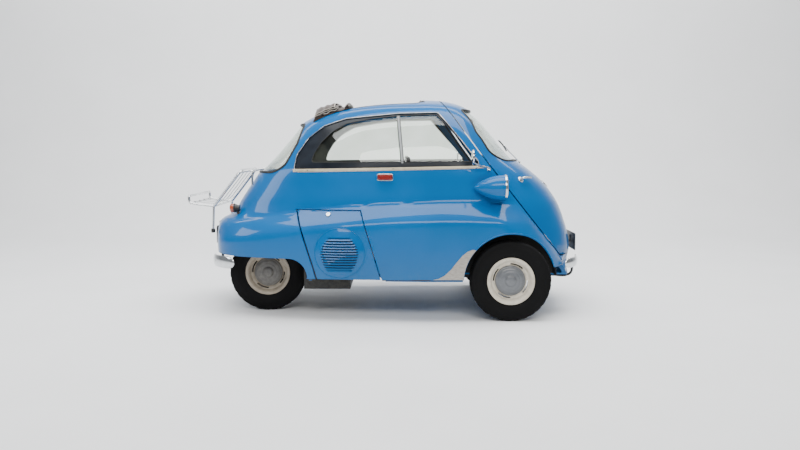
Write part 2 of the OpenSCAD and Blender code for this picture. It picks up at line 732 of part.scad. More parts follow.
// Tubular rack: sloping back, tray and legs down to the tail
function rack_at(p, y) = [p[0], y, p[1]];
module luggage_rack() color(chrome) {
    r = rack_tube / 2;
    half = rack_w / 2 - r;
    top = [at_x(-916), at_z(890)];
    bend = [at_x(-1093), at_z(662)];
    tip = [rack_x + r + 1.5, at_z(680)];
    foot = [tail_x(0, at_z(520)) - r - 3, at_z(508)];
    rest_z = at_z(800);
    rest = [tail_x(half, rest_z) - r - 3, rest_z];
    for (side = [-1, 1]) {
        y = side * half;
        tube(rack_at(top, y), rack_at(bend, y), r);
        tube(rack_at(bend, y), rack_at(tip, y), r - 1);
        tube(rack_at(bend, y), rack_at(foot, y), r - 2);
        tube(rack_at(top, y), rack_at([rest[0], top[1] - 6], y), r - 1);
        tube(rack_at([rest[0], top[1] - 6], y), rack_at(rest, y), r - 2);
        tube(rack_at(tip, y), [tip[0], y, tip[1] + at_z(48)], r - 2);
        for (p = [top, bend, tip, [rest[0], top[1] - 6]])
            translate(rack_at(p, y)) sphere(r = r + 1.5, $fn = 24);
    }
    for (p = [top, bend, tip, [tip[0], tip[1] + at_z(48)]])
        tube(rack_at(p, -half - 3), rack_at(p, half + 3), r * 0.75);
    for (k = [-1:1]) {
        y = k * half / 2;
        tube(rack_at(top, y), rack_at(bend, y), r * 0.55, 16);
        tube(rack_at(bend, y), rack_at(tip, y), r * 0.55, 16);
    }
}

// Round lamps on stalks above the tail's ledge
module tail_lamps() for (side = [-1, 1]) {
    z = at_z(655);
    y = side * at_y(330);
    x = tail_x(y, z - 24) - 4;
    color("#b5502a") translate([x - 62, y, z]) rotate([0, 90, 0])
        cylinder(r = 27, h = 30, $fn = 40);
    color(dark_metal) translate([x - 32 - eps, y, z]) rotate([0, 90, 0])
        cylinder(r = 24, h = 32, $fn = 40);
}
plate_w = 340;
plate_h = 112;
plate_hole_span = 260;
// Blank number plate in the YZ plane with a bolt hole near each end
module plate(t) difference() {
    translate([0, -plate_w / 2, 0]) cube([t, plate_w, plate_h]);
    for (side = [-1, 1])
        translate([-1, side * plate_hole_span / 2, plate_h / 2]) rotate([0, 90, 0])
            cylinder(r = 3, h = t + 2, $fn = 24);
}
rear_plate_low = [at_x(-1104), at_z(415)];
module rear_plate() {
    color("#e8e8e4") translate([rear_plate_low[0], 0, rear_plate_low[1]]) plate(4);
    color(chrome) translate([rear_plate_low[0] - 8, -30, rear_plate_low[1] + plate_h - eps])
        cube([12, 60, 22]);
}

// ------------------------------------------------------------------------------ interior
module rounded_slab(size, r) translate([r, r, r]) minkowski() {
    cube([size[0] - 2 * r, size[1] - 2 * r, size[2] - 2 * r]);
    sphere(r = r, $fn = 12);
}
module seat() color("#b7a184") {
    depth = seat_front - seat_back;
    cushion_h = at_z(120);
    translate([seat_back + 2, -seat_half + 12, seat_box_z + 1])
        rounded_slab([depth - 4, 2 * seat_half - 24, cushion_h], 22);
    translate([seat_back + 82, -seat_half + 12, seat_box_z + cushion_h + 6])
        rotate([0, -10, 0]) rounded_slab([90, 2 * seat_half - 24, at_z(350)], 22);
}

column_low = [at_x(868), at_y(232), at_z(428)];
column_high = [at_x(532), at_y(232), at_z(770)];
column_dir = (column_high - column_low) / norm(column_high - column_low);
module on_column() translate(column_high)
    rotate([0, -acos(column_dir[2]), 0]) children();
module steering_column() color(dark_metal) {
    tube(column_low, column_high - 22 * column_dir, 17);
    // stay out to the inside of the door
    hold = column_low + (column_high - column_low) * 0.42;
    wall_x = nose_x(column_low[1] + 40, hold[2] + 30) - door_wall - 14;
    tube(hold, [wall_x, column_low[1] + 40, hold[2] + 30], 11);
    tube(hold, [wall_x - 16, column_low[1] - 90, hold[2] + 30], 9);
    // instrument pod on top of the column
    on_column() translate([62, 0, -96]) rotate([0, 30, 0]) cylinder(r = 46, h = 44, $fn = 40);
    on_column() translate([8, -10, -92]) cube([50, 20, 24]);
}
module steering_wheel() color("#e6dfcf") on_column() {
    r = steer_d / 2 - 9;
    rotate_extrude($fn = 64) translate([r, 0]) circle(r = 9, $fn = 20);
    translate([0, 0, -20]) cylinder(r = 28, h = 26, $fn = 40);
    for (a = [-90, 0, 90]) rotate([0, 0, a]) translate([20, -8, -9]) cube([r - 20, 16, 8]);
}
module steering_box() color(dark_metal) {
    translate([at_x(905), at_y(232) - 30, sill_z]) cube([70, 60, 60]);
    tube([at_x(925), at_y(232), sill_z + 50], [at_x(892), at_y(232), sill_z + 92], 12);
}
module pedals_and_levers() color(dark_metal) {
    for (k = [0:2]) translate([at_x(900), at_y(40 + 62 * k), 0]) {
        translate([30, 18, sill_z]) cube([12, 12, at_z(100)]);
        translate([20, 0, sill_z + at_z(96)]) rotate([0, -25, 0]) cube([10, 48, 58]);
    }
    // gear lever and hand brake by the driver's left
    for (v = [120, 200]) translate([at_x(v + 150), at_y(545), sill_z]) {
        cylinder(r = 16, h = 14, $fn = 24);
        cylinder(r = 6, h = at_z(230), $fn = 16);
        translate([0, 0, at_z(230)]) sphere(r = 19, $fn = 24);
    }
}

// ------------------------------------------------------------------------------ the door
// Hinge line on the left: it leans back as it rises
hinge_y = at_y(570);
hinge_mid = [seam_x(at_z(700)) + 4, hinge_y, at_z(700)];
hinge_lean = 22;
hinge_dir = [-sin(hinge_lean), 0, cos(hinge_lean)];
hinge_places = [12, 212];
barrel_r = 13;
leaf = 9;
leaf_h = 24;
// Body arm and barrel below the middle of a hinge (side -1), door arm and barrel above (1).
// An arm runs level to its foot, and the foot turns in to the skin.
module hinge_arm(h, side) {
    c = hinge_mid + (h + side * (2 + leaf_h / 2)) * hinge_dir;
    tall = leaf_h - 11;
    foot_x = side > 0 ? c[0] + 20 : min(c[0], seam_x(c[2])) - 36;
    foot_y = skin_y(foot_x - 6, c[2] - tall / 2) + 1;
    translate(c) rotate([0, -hinge_lean, 0])
        cylinder(r = barrel_r, h = leaf_h, center = true, $fn = 32);
    translate([min(c[0], foot_x), hinge_y - leaf / 2, c[2] - tall / 2])
        cube([abs(c[0] - foot_x), leaf, tall]);
    translate([foot_x - 6, foot_y, c[2] - tall / 2])
        cube([12, hinge_y + leaf / 2 - foot_y, tall]);
}
module hinge_pin(h, r, low, tall)
    translate(hinge_mid + (h + low) * hinge_dir) rotate([0, -hinge_lean, 0])
        cylinder(r = r, h = tall, $fn = 32);
pin_r = 6;
module hinge_body_leaves() color(body_blue) for (h = hinge_places)
    difference() {
        hinge_arm(h, -1);
        hinge_pin(h, pin_r + run_fit, -32, 64);
    }
module hinge_door_leaves() color(body_blue) for (h = hinge_places) {
    hinge_arm(h, 1);
    hinge_pin(h, pin_r, -30, 36);
}

module front_door()
    color(body_blue) as_mesh() difference() {
        intersection() {
            shell(0, door_wall);
            ahead_of_seam(seam_shift);
            translate([-far / 2, -far / 2, door_low_z]) cube([far, far, far]);
        }
        along(0, far) windscreen_outline();
    }
module windscreen()
    color(glass_tint) as_mesh() intersection() {
        shell(12, 12 + glass_t);
        along(0, far) windscreen_outline();
    }
// Stands its children up on the nose at y, z, square to the skin
module on_nose(y, z) {
    d = 4;
    n = [1, (nose_x(y - d, z) - nose_x(y + d, z)) / (2 * d),
        (nose_x(y, z - d) - nose_x(y, z + d)) / (2 * d)];
    translate([nose_x(y, z), y, z])
        rotate([0, acos(n[2] / norm(n)), atan2(n[1], n[0])]) children();
}
module door_handle() color(chrome) on_nose(-at_y(452), at_z(838)) {
    translate([0, 0, 1]) cylinder(r = 13, h = 8, $fn = 32);
    translate([0, 0, 5]) cylinder(r = 7, h = 22, $fn = 32);
    translate([0, 50, 27]) rotate([90, 0, 0]) cylinder(r = 9, h = 100, $fn = 24);
}
module wiper() color(chrome) {
    off = 12;
    pivot = [nose_x(at_y(60), at_z(925)) + 10, at_y(60), at_z(931)];
    on_nose(at_y(60), at_z(925)) translate([0, 0, 1]) cylinder(r = 14, h = 20, $fn = 32);
    // arm and blade follow the glass in short straight pieces
    blade = [for (k = [0:3]) let (y = at_y(-250 + 62 * k), z = at_z(1072 - 22 * k))
        [nose_x(y, z) + off, y, z]];
    middle = (blade[1] + blade[2]) / 2 + [2, 0, 2];
    elbow = [nose_x(at_y(-40), at_z(985)) + off + 6, at_y(-40), at_z(985)];
    tube(pivot, elbow, 4, 16);
    tube(elbow, middle, 3.2, 16);
    translate(elbow) sphere(r = 5.5, $fn = 20);
    for (k = [0:2]) tube(blade[k], blade[k + 1], k == 1 ? 5 : 4.4, 16);
    for (k = [1:2]) translate(blade[k]) sphere(r = 6.4, $fn = 20);
}
front_plate_z = at_z(366);
module front_plate() {
    stay_z = front_plate_z + plate_h / 2 - 20;
    stay_x = nose_x(24, stay_z) + 4;
    color("#e8e8e4") translate([plate_x - 4, 0, front_plate_z]) plate(4);
    color(dark_metal) translate([stay_x, -24, stay_z])
        cube([plate_x - 4 - stay_x + eps, 48, 40]);
}

// ---------------------------------------------------------------------------- the hatch
grille_at = [at_x(-266), at_z(410)];
grille_r = at_z(152);
grille_rise = 34;
hatch_t = 14;
module engine_hatch() color(body_blue) {
    x = grille_at[0];
    z = grille_at[1];
    y = -skin_y(x, z);
    ball = (grille_r * grille_r + grille_rise * grille_rise) / (2 * grille_rise);
    as_mesh() {
        intersection() {
            shell(0, hatch_t);
            across(-far, 0) hatch_panel_outline();
        }
        // round louvre dome
        intersection() {
            translate([x, y + ball - grille_rise, z]) sphere(r = ball, $fn = 96);
            translate([x, y + 3, z]) rotate([90, 0, 0]) cylinder(r = grille_r, h = 60, $fn = 48);
        }
    }
}

// -------------------------------------------------------------------------- what is drawn
body_side_left();
body_side_right();
roof_frame();
rear_panel();
floor_pan();
rear_deck();
front_wheel_arches();
chassis_frame();
front_axle_beam();
rear_springs();
engine_block();
exhaust();
seat();
side_windows();
rear_window();
folded_roof();
headlamp_pods();
headlamp_lenses();
side_indicators();
mirrors();
front_bumper();
rear_bumper();
luggage_rack();
tail_lamps();
rear_plate();
steering_box();
pedals_and_levers();
hinge_body_leaves();
front_door();
windscreen();
door_handle();
wiper();
front_plate();
hinge_door_leaves();
steering_column();
steering_wheel();
engine_hatch();
steering_knuckle_left();
steering_knuckle_right();
tie_rod();
tyre_front_left();
wheel_front_left();
tyre_front_right();
wheel_front_right();
rear_tyres();
rear_wheels();
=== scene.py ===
"""Bubble car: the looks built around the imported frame. Design sizes are in millimetres."""
import math
from functools import lru_cache
from math import cos, sin, radians, pi

import bmesh
import bpy
from mathutils import Matrix, Vector


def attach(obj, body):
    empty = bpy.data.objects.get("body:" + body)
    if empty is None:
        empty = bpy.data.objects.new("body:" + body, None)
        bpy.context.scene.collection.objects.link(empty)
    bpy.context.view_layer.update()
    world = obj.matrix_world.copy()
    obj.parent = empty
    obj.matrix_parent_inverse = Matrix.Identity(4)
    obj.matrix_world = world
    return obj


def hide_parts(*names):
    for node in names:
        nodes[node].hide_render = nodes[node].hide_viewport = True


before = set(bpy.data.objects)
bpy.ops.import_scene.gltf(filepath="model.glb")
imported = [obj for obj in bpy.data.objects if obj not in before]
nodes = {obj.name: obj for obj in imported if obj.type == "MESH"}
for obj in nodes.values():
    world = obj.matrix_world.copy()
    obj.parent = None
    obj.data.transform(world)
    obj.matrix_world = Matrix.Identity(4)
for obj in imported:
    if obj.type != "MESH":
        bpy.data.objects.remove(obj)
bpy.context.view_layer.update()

MM = 0.001


# ------------------------------------------------------------------ camera, stage and light
CAMERA_AT, CAMERA_DOWN = (0.10255, -5.2088, 1.0147), 5.4686    # metres, degrees


def camera():
    """Side-on view from a little above the door sill."""
    data = bpy.data.cameras.new("side_camera")
    data.lens, data.sensor_width = 35.0, 36.0
    data.clip_end = 200
    cam = bpy.data.objects.new("side_camera", data)
    cam.location = CAMERA_AT
    cam.rotation_euler = (radians(90 - CAMERA_DOWN), 0, 0)
    bpy.context.scene.collection.objects.link(cam)
    bpy.context.scene.camera = cam


camera()


# ---------------------------------------------------------------------------- materials
def colour(code):
    """sRGB hex to the linear colour a shader wants."""
    parts = [int(code[i:i + 2], 16) / 255 for i in (0, 2, 4)]
    return tuple(c / 12.92 if c <= 0.04045 else ((c + 0.055) / 1.055) ** 2.4
                 for c in parts) + (1.0,)


def live(v):
    """The output in use of a node; anything else as it is."""
    return next(o for o in v.outputs if o.enabled) if isinstance(v, bpy.types.Node) else v


def add(tree, kind, inputs=None, stops=None, **settings):
    """Adds a shader node. Inputs are values, nodes or sockets; stops fill a colour ramp."""
    n = tree.nodes.new("ShaderNode" + kind)
    for k, v in settings.items():
        setattr(n, k, v)
    for k, v in (inputs or {}).items():
        v = live(v)
        if isinstance(v, bpy.types.NodeSocket):
            tree.links.new(v, n.inputs[k])
        else:
            n.inputs[k].default_value = v
    if stops:
        e = n.color_ramp.elements
        while len(e) < len(stops):
            e.new(0.5)
        for el, (at, c) in zip(e, stops):
            el.position, el.color = at, colour(c)
    return n


def material(name, **surface):
    """A material, its tree, its Principled shader with these constants, and its place."""
    m = bpy.data.materials.new(name)
    m.use_nodes = True
    tree = m.node_tree
    shader = next(n for n in tree.nodes if n.type == "BSDF_PRINCIPLED")
    for k, v in surface.items():
        shader.inputs[k.replace("_", " ")].default_value = v
    return m, tree, shader, add(tree, "TexCoord").outputs["Object"]


def join_up(tree, shader, **sockets):
    """Links nodes or sockets to the shader's inputs of these names."""
    for k, v in sockets.items():
        tree.links.new(live(v), shader.inputs[k.replace("_", " ")])


def make_paint():
    """Sky-blue coach enamel, sprayed and polished: a deep clear gloss over a faint mottle,
    with a film of road dust along the bottom."""
    m, t, s, p = material("sky_blue_coach_enamel", Coat_Weight=0.42, Coat_Roughness=0.03,
                          Coat_IOR=1.5, Specular_IOR_Level=0.08)
    mottle = add(t, "TexNoise", {"Vector": p, "Scale": 2.4, "Detail": 2.0})
    base = add(t, "ValToRGB", {"Fac": mottle}, [(0.3, "005590"), (0.7, "005C9A")])
    low = add(t, "MapRange", {"Value": add(t, "SeparateXYZ", {"Vector": p}).outputs["Z"],
                              "From Min": 0.22, "From Max": 0.44, "To Min": 0.34,
                              "To Max": 0.0})
    speck = add(t, "TexNoise", {"Vector": p, "Scale": 45.0, "Detail": 4.0,
                                "Roughness": 0.65})
    dust = add(t, "Math", {0: low, 1: speck}, operation="MULTIPLY")
    film = add(t, "Mix", {0: dust, 6: base, 7: colour("4A6674")}, data_type="RGBA")
    haze = add(t, "MapRange", {"Value": dust, "From Max": 0.25, "To Min": 0.28,
                               "To Max": 0.6})
    join_up(t, s, Base_Color=film, Roughness=haze)
    # orange peel of sprayed enamel: 7 mm ripples, a hundredth of a millimetre deep
    peel = add(t, "TexNoise", {"Vector": p, "Scale": 140.0, "Detail": 1.0})
    join_up(t, s, Coat_Normal=add(t, "Bump", {"Height": peel, "Strength": 0.2,
                                              "Distance": 0.00002}))
    return m


def make_metal(name, bright, dull, low, high, smudge, stretch=(1, 1, 1)):
    """Plated or bare metal: mirror-like with cloudy smudges smudge mm across."""
    m, t, s, p = material(name, Metallic=1.0)
    drawn = add(t, "Mapping", {"Vector": p, "Scale": stretch})
    grime = add(t, "TexNoise", {"Vector": drawn, "Scale": 1000 / smudge, "Detail": 5.0,
                                "Roughness": 0.6})
    join_up(t, s, Base_Color=add(t, "ValToRGB", {"Fac": grime}, [(0.3, bright), (0.74, dull)]),
            Roughness=add(t, "MapRange", {"Value": grime, "From Min": 0.3, "From Max": 0.75,
                                          "To Min": low, "To Max": high}),
            Normal=add(t, "Bump", {"Height": grime, "Strength": 0.3, "Distance": 0.00005}))
    return m


def make_surface(name, dark, light, rough, patch, grain, depth, metallic=0.0, coat=0.0,
                 specular=0.5):
    """Paint, rubber, plastic or casting: patches of colour patch mm across over a grain
    grain mm across and depth mm deep."""
    m, t, s, p = material(name, Metallic=metallic, Coat_Weight=coat, Coat_Roughness=0.12,
                          Specular_IOR_Level=specular)
    wear = add(t, "TexNoise", {"Vector": p, "Scale": 1000 / patch, "Detail": 4.0,
                               "Roughness": 0.62})
    fine = add(t, "TexNoise", {"Vector": p, "Scale": 1000 / grain, "Detail": 3.0,
                               "Roughness": 0.6})
    join_up(t, s, Base_Color=add(t, "ValToRGB", {"Fac": wear}, [(0.32, dark), (0.7, light)]),
            Roughness=add(t, "MapRange", {"Value": wear, "From Min": 0.3, "From Max": 0.7,
                                          "To Min": rough, "To Max": min(1, rough + 0.2)}),
            Normal=add(t, "Bump", {"Height": fine, "Strength": 0.5,
                                   "Distance": depth / 1000}))
    return m


def make_glass(name, clear, filmed):
    """Toughened glass: clear with a faint film of dust, a mirror at low angles."""
    m = bpy.data.materials.new(name)
    m.use_nodes = True
    t = m.node_tree
    t.nodes.clear()
    p = add(t, "TexCoord").outputs["Object"]
    film = add(t, "TexNoise", {"Vector": p, "Scale": 6.0, "Detail": 4.0, "Roughness": 0.6})
    through = add(t, "BsdfTransparent", {"Color": add(t, "ValToRGB", {"Fac": film}, [
        (0.3, clear), (0.8, filmed)])})
    mirror = add(t, "BsdfAnisotropic", {"Color": colour("F4F8F8"), "Roughness": 0.02})
    low = add(t, "LayerWeight", {"Blend": 0.5}).outputs["Facing"]
    rise = add(t, "Math", {0: low, 1: 4.0}, operation="POWER")
    mix = add(t, "MixShader", {0: add(t, "MapRange", {"Value": rise, "To Min": 0.032,
                                                      "To Max": 0.75}),
                               1: through, 2: mirror})
    add(t, "OutputMaterial", {"Surface": mix})
    return m


def make_lens(name, deep, bright):
    """Moulded signal lens: glossy outside with 6 mm ribs; each crest is painted lighter as a
    painted highlight and each trough darker as painted shade.
    """
    m, t, s, p = material(name, Roughness=0.12, Coat_Weight=0.6, Coat_Roughness=0.05,
                          Subsurface_Weight=0.2, Subsurface_Scale=0.004)
    ribs = add(t, "TexWave", {"Vector": p, "Scale": 1000 / 6 / (2 * pi)}, wave_type="BANDS",
               bands_direction="Z").outputs["Fac"]
    # colour follows the ribs: painted highlight on each crest, painted shade between them
    join_up(t, s, Base_Color=add(t, "ValToRGB", {"Fac": ribs}, [(0.2, deep), (0.85, bright)]),
            Normal=add(t, "Bump", {"Height": ribs, "Strength": 0.6, "Distance": 0.0006}))
    return m


def make_cloth(name, dark, light, thread):
    """Woven cloth: over-and-under threads, drawn coarser than life so that they show, with
    paler worn patches and a soft sheen."""
    m, t, s, p = material(name, Sheen_Weight=0.4, Sheen_Roughness=0.5,
                          Specular_IOR_Level=0.2)
    k = 1000 / thread / (2 * pi)
    waves = [add(t, "TexWave", {"Vector": p, "Scale": k, "Distortion": 1.5, "Detail": 1.0},
                 wave_type="BANDS", bands_direction=d).outputs["Fac"] for d in "XY"]
    weave = add(t, "Math", {0: waves[0], 1: waves[1]}, operation="MULTIPLY")
    wear = add(t, "TexNoise", {"Vector": p, "Scale": 14.0, "Detail": 4.0, "Roughness": 0.6})
    worn = add(t, "ValToRGB", {"Fac": wear}, [(0.3, dark), (0.72, light)])
    lifted = add(t, "Math", {0: weave, 1: 0.35}, operation="MULTIPLY")
    join_up(t, s, Base_Color=add(t, "Mix", {0: lifted, 6: worn, 7: colour(light)},
                                 data_type="RGBA"),
            Roughness=add(t, "MapRange", {"Value": wear, "To Min": 0.75, "To Max": 0.95}),
            Normal=add(t, "Bump", {"Height": weave, "Strength": 0.6,
                                   "Distance": thread / 4000}))
    return m


PAINT = make_paint()
CHROME = make_metal("bright_chromium_plate", "D9DBDD", "BFC1C2", 0.05, 0.2, 60)
DULL_CHROME = make_metal("weathered_chromium_plate", "B9B8B4", "94928D", 0.14, 0.4, 25)
ALUMINIUM = make_metal("brushed_bare_aluminium", "B9B4AC", "918C86", 0.32, 0.55, 30,
                       (1, 1, 6))
REFLECTOR = make_metal("silvered_reflector", "E6E8EA", "D5D7D9", 0.04, 0.1, 80)
GLASS = make_glass("toughened_window_glass", "FAFCFA", "F3F6F2")
LAMP_GLASS = make_glass("pressed_lamp_glass", "F8F9F6", "EDF0EC")
RED_LENS = make_lens("red_lens_plastic", "5E0D06", "93190D")
AMBER_LENS = make_lens("amber_lens_plastic", "7C2A12", "B5532A")
# near-black moulded tyre rubber, greyed by dust
TYRE = make_surface("cross_ply_tyre_rubber", "060607", "101011", 0.6, 90, 5, 0.25,
                    specular=0.12)
# black extrusion with a chalky bloom
RUBBER = make_surface("extruded_window_rubber", "0D0E0F", "1C1D1E", 0.42, 14, 4, 0.08,
                      specular=0.4)
# stoved enamels on the wheels, chipped and touched by brake dust
CREAM = make_surface("cream_wheel_enamel", "B2AA9A", "CEC6B6", 0.32, 40, 6, 0.05, coat=0.35)
# the rear caps carry more brake dust
DUSTY_GREY = make_surface("dusty_hub_cap", "5D5B58", "77746F", 0.45, 25, 5, 0.05)
DUSTY_CREAM = make_surface("dusty_wheel_enamel", "8A8072", "A89C8A", 0.45, 40, 6, 0.05,
                           coat=0.15)
CAP_GREY = make_surface("grey_stoved_hub_cap", "575A5E", "696C71", 0.28, 60, 6, 0.03,
                        coat=0.4)
TRIM = make_surface("pale_vinyl_side_trim", "B3AC9C", "C7C1B3", 0.5, 80, 2.5, 0.15)
CHASSIS = make_surface("road_worn_chassis_black", "131313", "292623", 0.6, 45, 4, 0.4)
CASTING = make_surface("oily_cast_aluminium", "262625", "474643", 0.5, 25, 4, 0.5, 0.6)
SATIN_BLACK = make_surface("satin_black_stove_paint", "0F1011", "1A1B1D", 0.33, 30, 4, 0.05)
# the frames inside the side windows: blue darkened to blue-black as painted shade
FRAME_BLUE_IN_PAINTED_SHADE = make_surface("blue_window_frame_in_painted_shade", "030A14", "08131F", 0.3, 60, 5, 0.03,
                          coat=0.1, specular=0.2)
FELT = make_surface("pale_grey_channel_felt", "8E9294", "A9ADAF", 0.85, 12, 1.5, 0.3)
STRIP = make_surface("pale_anodised_sill_strip", "A79C84", "C0B69E", 0.4, 30, 3, 0.03, 0.35)
IVORY = make_surface("ivory_moulded_plastic", "D2C9B2", "E4DCC7", 0.25, 60, 5, 0.02,
                     coat=0.3)
PLATE = make_surface("white_enamelled_plate", "D2D2CC", "E4E4E0", 0.33, 60, 5, 0.03)
MAT = make_surface("moulded_rubber_floor_mat", "151515", "232322", 0.75, 20, 4, 0.4)
ROOF_CLOTH = make_cloth("dark_brown_roof_duck", "241914", "3E2E25", 2.4)
BINDING = make_cloth("pale_edge_binding_tape", "A39D90", "C5BFB3", 2.0)
SEAT_CLOTH = make_cloth("oatmeal_seat_cloth", "A38F73", "BFAF90", 2.6)
FLOOR = make_surface("pale_painted_studio_floor", "EDEEEF", "F1F2F3", 0.6, 800, 20, 0.02)


# ------------------------------------------------------------------ modelling by operators
def only(*objs):
    """Selects just these objects, the last one active."""
    bpy.ops.object.select_all(action="DESELECT")
    for o in objs:
        o.select_set(True)
    bpy.context.view_layer.objects.active = objs[-1]


def edit(o, *steps):
    """Runs operator steps in edit mode on everything in o."""
    only(o)
    bpy.ops.object.mode_set(mode="EDIT")
    bpy.ops.mesh.select_all(action="SELECT")
    for step in steps:
        step()
    bpy.ops.object.mode_set(mode="OBJECT")
    return o


def merge(dist=0.02):
    """Step that welds corners closer than dist millimetres."""
    return lambda: bpy.ops.mesh.remove_doubles(threshold=dist * MM)


def face_out():
    bpy.ops.mesh.normals_make_consistent(inside=False)


def modify(o, kind, **settings):
    """Adds a modifier with these settings and applies it."""
    only(o)
    m = o.modifiers.new(kind.lower(), kind)
    for k, v in settings.items():
        setattr(m, k, v)
    bpy.ops.object.modifier_apply(modifier=m.name)
    return o


def smooth(o, angle=35):
    only(o)
    bpy.ops.object.shade_smooth_by_angle(angle=radians(angle))
    return o


def finish(o, mats, body="body", replaces=(), angle=35):
    """Sets the origin, materials, smoothing and the body a piece rides on, and hides the
    imported nodes it replaces. Angle 0 smooths it all over."""
    only(o)
    bpy.ops.object.transform_apply(location=True, rotation=True, scale=True)
    mats = mats if isinstance(mats, list) else [mats]
    o.data.materials.clear()
    for m in mats:
        o.data.materials.append(m)
    if angle:
        smooth(o, angle)
    else:
        bpy.ops.object.shade_smooth()
    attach(o, body)
    if replaces:
        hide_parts(*([replaces] if isinstance(replaces, str) else replaces))
    return o


def named(name):
    """Names the active object and its mesh."""
    o = bpy.context.object
    o.name = o.data.name = name
    return o


def started(name, kind, **sizes):
    """A mesh primitive of that kind, with nothing else selected."""
    bpy.ops.object.select_all(action="DESELECT")
    getattr(bpy.ops.mesh, f"primitive_{kind}_add")(**sizes)
    return named(name)


def placed(o, points):
    """Puts the vertices of o at points, given in millimetres."""
    for v, p in zip(o.data.vertices, points):
        v.co = [c * MM for c in p]
    o.data.update()
    return o


def outline_face(name, points, edges_only=False):
    """One face (or ring) through points, from a circle primitive."""
    fill = "NOTHING" if edges_only else "NGON"
    return placed(started(name, "circle", vertices=len(points), fill_type=fill), points)


def prism(name, points, push):
    """Closed prism: the outline pushed along push, in millimetres."""
    o = outline_face(name, points)
    return edit(o, lambda: bpy.ops.mesh.extrude_region_move(
        TRANSFORM_OT_translate={"value": [c * MM for c in push]}),
        lambda: bpy.ops.mesh.select_all(action="SELECT"), face_out)


def turned(name, profile, centre=(0, 0, 0), axis="Z", steps=64):
    """Lathe-turned solid: profile is (radius, height) pairs round the axis through centre."""
    o = outline_face(name, [(r, 0, h) for r, h in profile], True)
    edit(o, lambda: bpy.ops.mesh.spin(steps=steps, angle=2 * pi, center=(0, 0, 0),
                                      axis=(0, 0, 1)),
         lambda: bpy.ops.mesh.select_all(action="SELECT"), merge(0.01),
         lambda: bpy.ops.mesh.dissolve_degenerate(threshold=1e-6),
         lambda: bpy.ops.mesh.select_all(action="SELECT"), face_out)
    return put(o, centre, axis)


AXES = {"Z": Matrix.Identity(4), "X": Matrix.Rotation(pi / 2, 4, "Y"),
        "Y": Matrix.Rotation(-pi / 2, 4, "X"), "-Y": Matrix.Rotation(pi / 2, 4, "X"),
        "-X": Matrix.Rotation(-pi / 2, 4, "Y")}


def put(o, centre, axis="Z"):
    """Turns the mesh from Z to axis and moves it to centre."""
    turn = AXES[axis] if isinstance(axis, str) else \
        Vector(axis).to_track_quat("Z", "Y").to_matrix().to_4x4()
    o.data.transform(Matrix.Translation([c * MM for c in centre]) @ turn)
    return o


def copy_of(o, name):
    """A copy with a mesh of its own."""
    c = o.copy()
    c.data = o.data.copy()
    c.name = c.data.name = name
    bpy.context.scene.collection.objects.link(c)
    return c


def cut(o, cutter, op="DIFFERENCE"):
    """Boolean with a cutter, which is then thrown away."""
    modify(o, "BOOLEAN", operation=op, object=cutter, solver="EXACT")
    bpy.data.objects.remove(cutter)
    return o


def rod(name, points, radius, closed=False, smooth_bends=False, section=None, sides=5):
    """A round bar (or one of the given section) bent along points, made from a curve."""
    data = bpy.data.curves.new(name, "CURVE")
    data.dimensions = "3D"
    data.resolution_u = 6
    s = data.splines.new("BEZIER" if smooth_bends else "POLY")
    (s.bezier_points if smooth_bends else s.points).add(len(points) - 1)
    for k, p in enumerate(points):
        q = [c * MM for c in p]
        if smooth_bends:
            b = s.bezier_points[k]
            b.co = q
            b.handle_left_type = b.handle_right_type = "AUTO"
        else:
            s.points[k].co = q + [1]
    s.use_cyclic_u = closed
    data.use_fill_caps = not closed
    if section:
        ring = bpy.data.curves.new(name + "_section", "CURVE")
        ring.dimensions = "2D"
        r = ring.splines.new("POLY")
        r.points.add(len(section) - 1)
        for k, (a, b) in enumerate(section):
            r.points[k].co = (a * MM, b * MM, 0, 1)
        r.use_cyclic_u = True
        ring_o = bpy.data.objects.new(name + "_section", ring)
        bpy.context.scene.collection.objects.link(ring_o)
        data.bevel_mode, data.bevel_object = "OBJECT", ring_o
    else:
        data.bevel_depth, data.bevel_resolution = radius * MM, sides
    o = bpy.data.objects.new(name, data)
    bpy.context.scene.collection.objects.link(o)
    only(o)
    bpy.ops.object.convert(target="MESH")
    o = named(name)
    if section:
        bpy.data.objects.remove(ring_o)
    return edit(o, merge(0.005), face_out)


def rounded(points, radius, steps=6):
    """The outline with each corner rounded to radius (a number or one per corner)."""
    out = []
    n = len(points)
    for k, p in enumerate(points):
        r = radius[k] if isinstance(radius, (list, tuple)) else radius
        a, b = Vector(points[k - 1]), Vector(points[(k + 1) % n])
        p = Vector(p)
        u, v = (a - p).normalized(), (b - p).normalized()
        half = u.angle(v) / 2
        back = min(r / math.tan(half), (a - p).length * 0.49, (b - p).length * 0.49)
        r_here = back * math.tan(half)
        c = p + (u + v).normalized() * (r_here / sin(half))
        p0, p1 = p + u * back, p + v * back
        a0 = math.atan2(p0.y - c.y, p0.x - c.x)
        a1 = math.atan2(p1.y - c.y, p1.x - c.x)
        d = (a1 - a0 + pi) % (2 * pi) - pi
        for i in range(steps + 1):
            t = a0 + d * i / steps
            out.append((c.x + r_here * cos(t), c.y + r_here * sin(t)))
    return out


def dense(points, step, closed=True):
    """Adds points along the outline so that no gap is over step."""
    out = []
    n = len(points)
    for k in range(n if closed else n - 1):
        a, b = Vector(points[k]), Vector(points[(k + 1) % n])
        parts = max(1, math.ceil((b - a).length / step))
        out += [tuple(a.lerp(b, i / parts)) for i in range(parts)]
    return out if closed else out + [tuple(points[-1])]


def oval(w, h, n=20, power=2.6):
    """Section of a pressed bar: a rounded oblong."""
    out = []
    for k in range(n):
        t = 2 * pi * k / n
        out.append((w / 2 * math.copysign(abs(cos(t)) ** (2 / power), cos(t)),
                    h / 2 * math.copysign(abs(sin(t)) ** (2 / power), sin(t))))
    return out


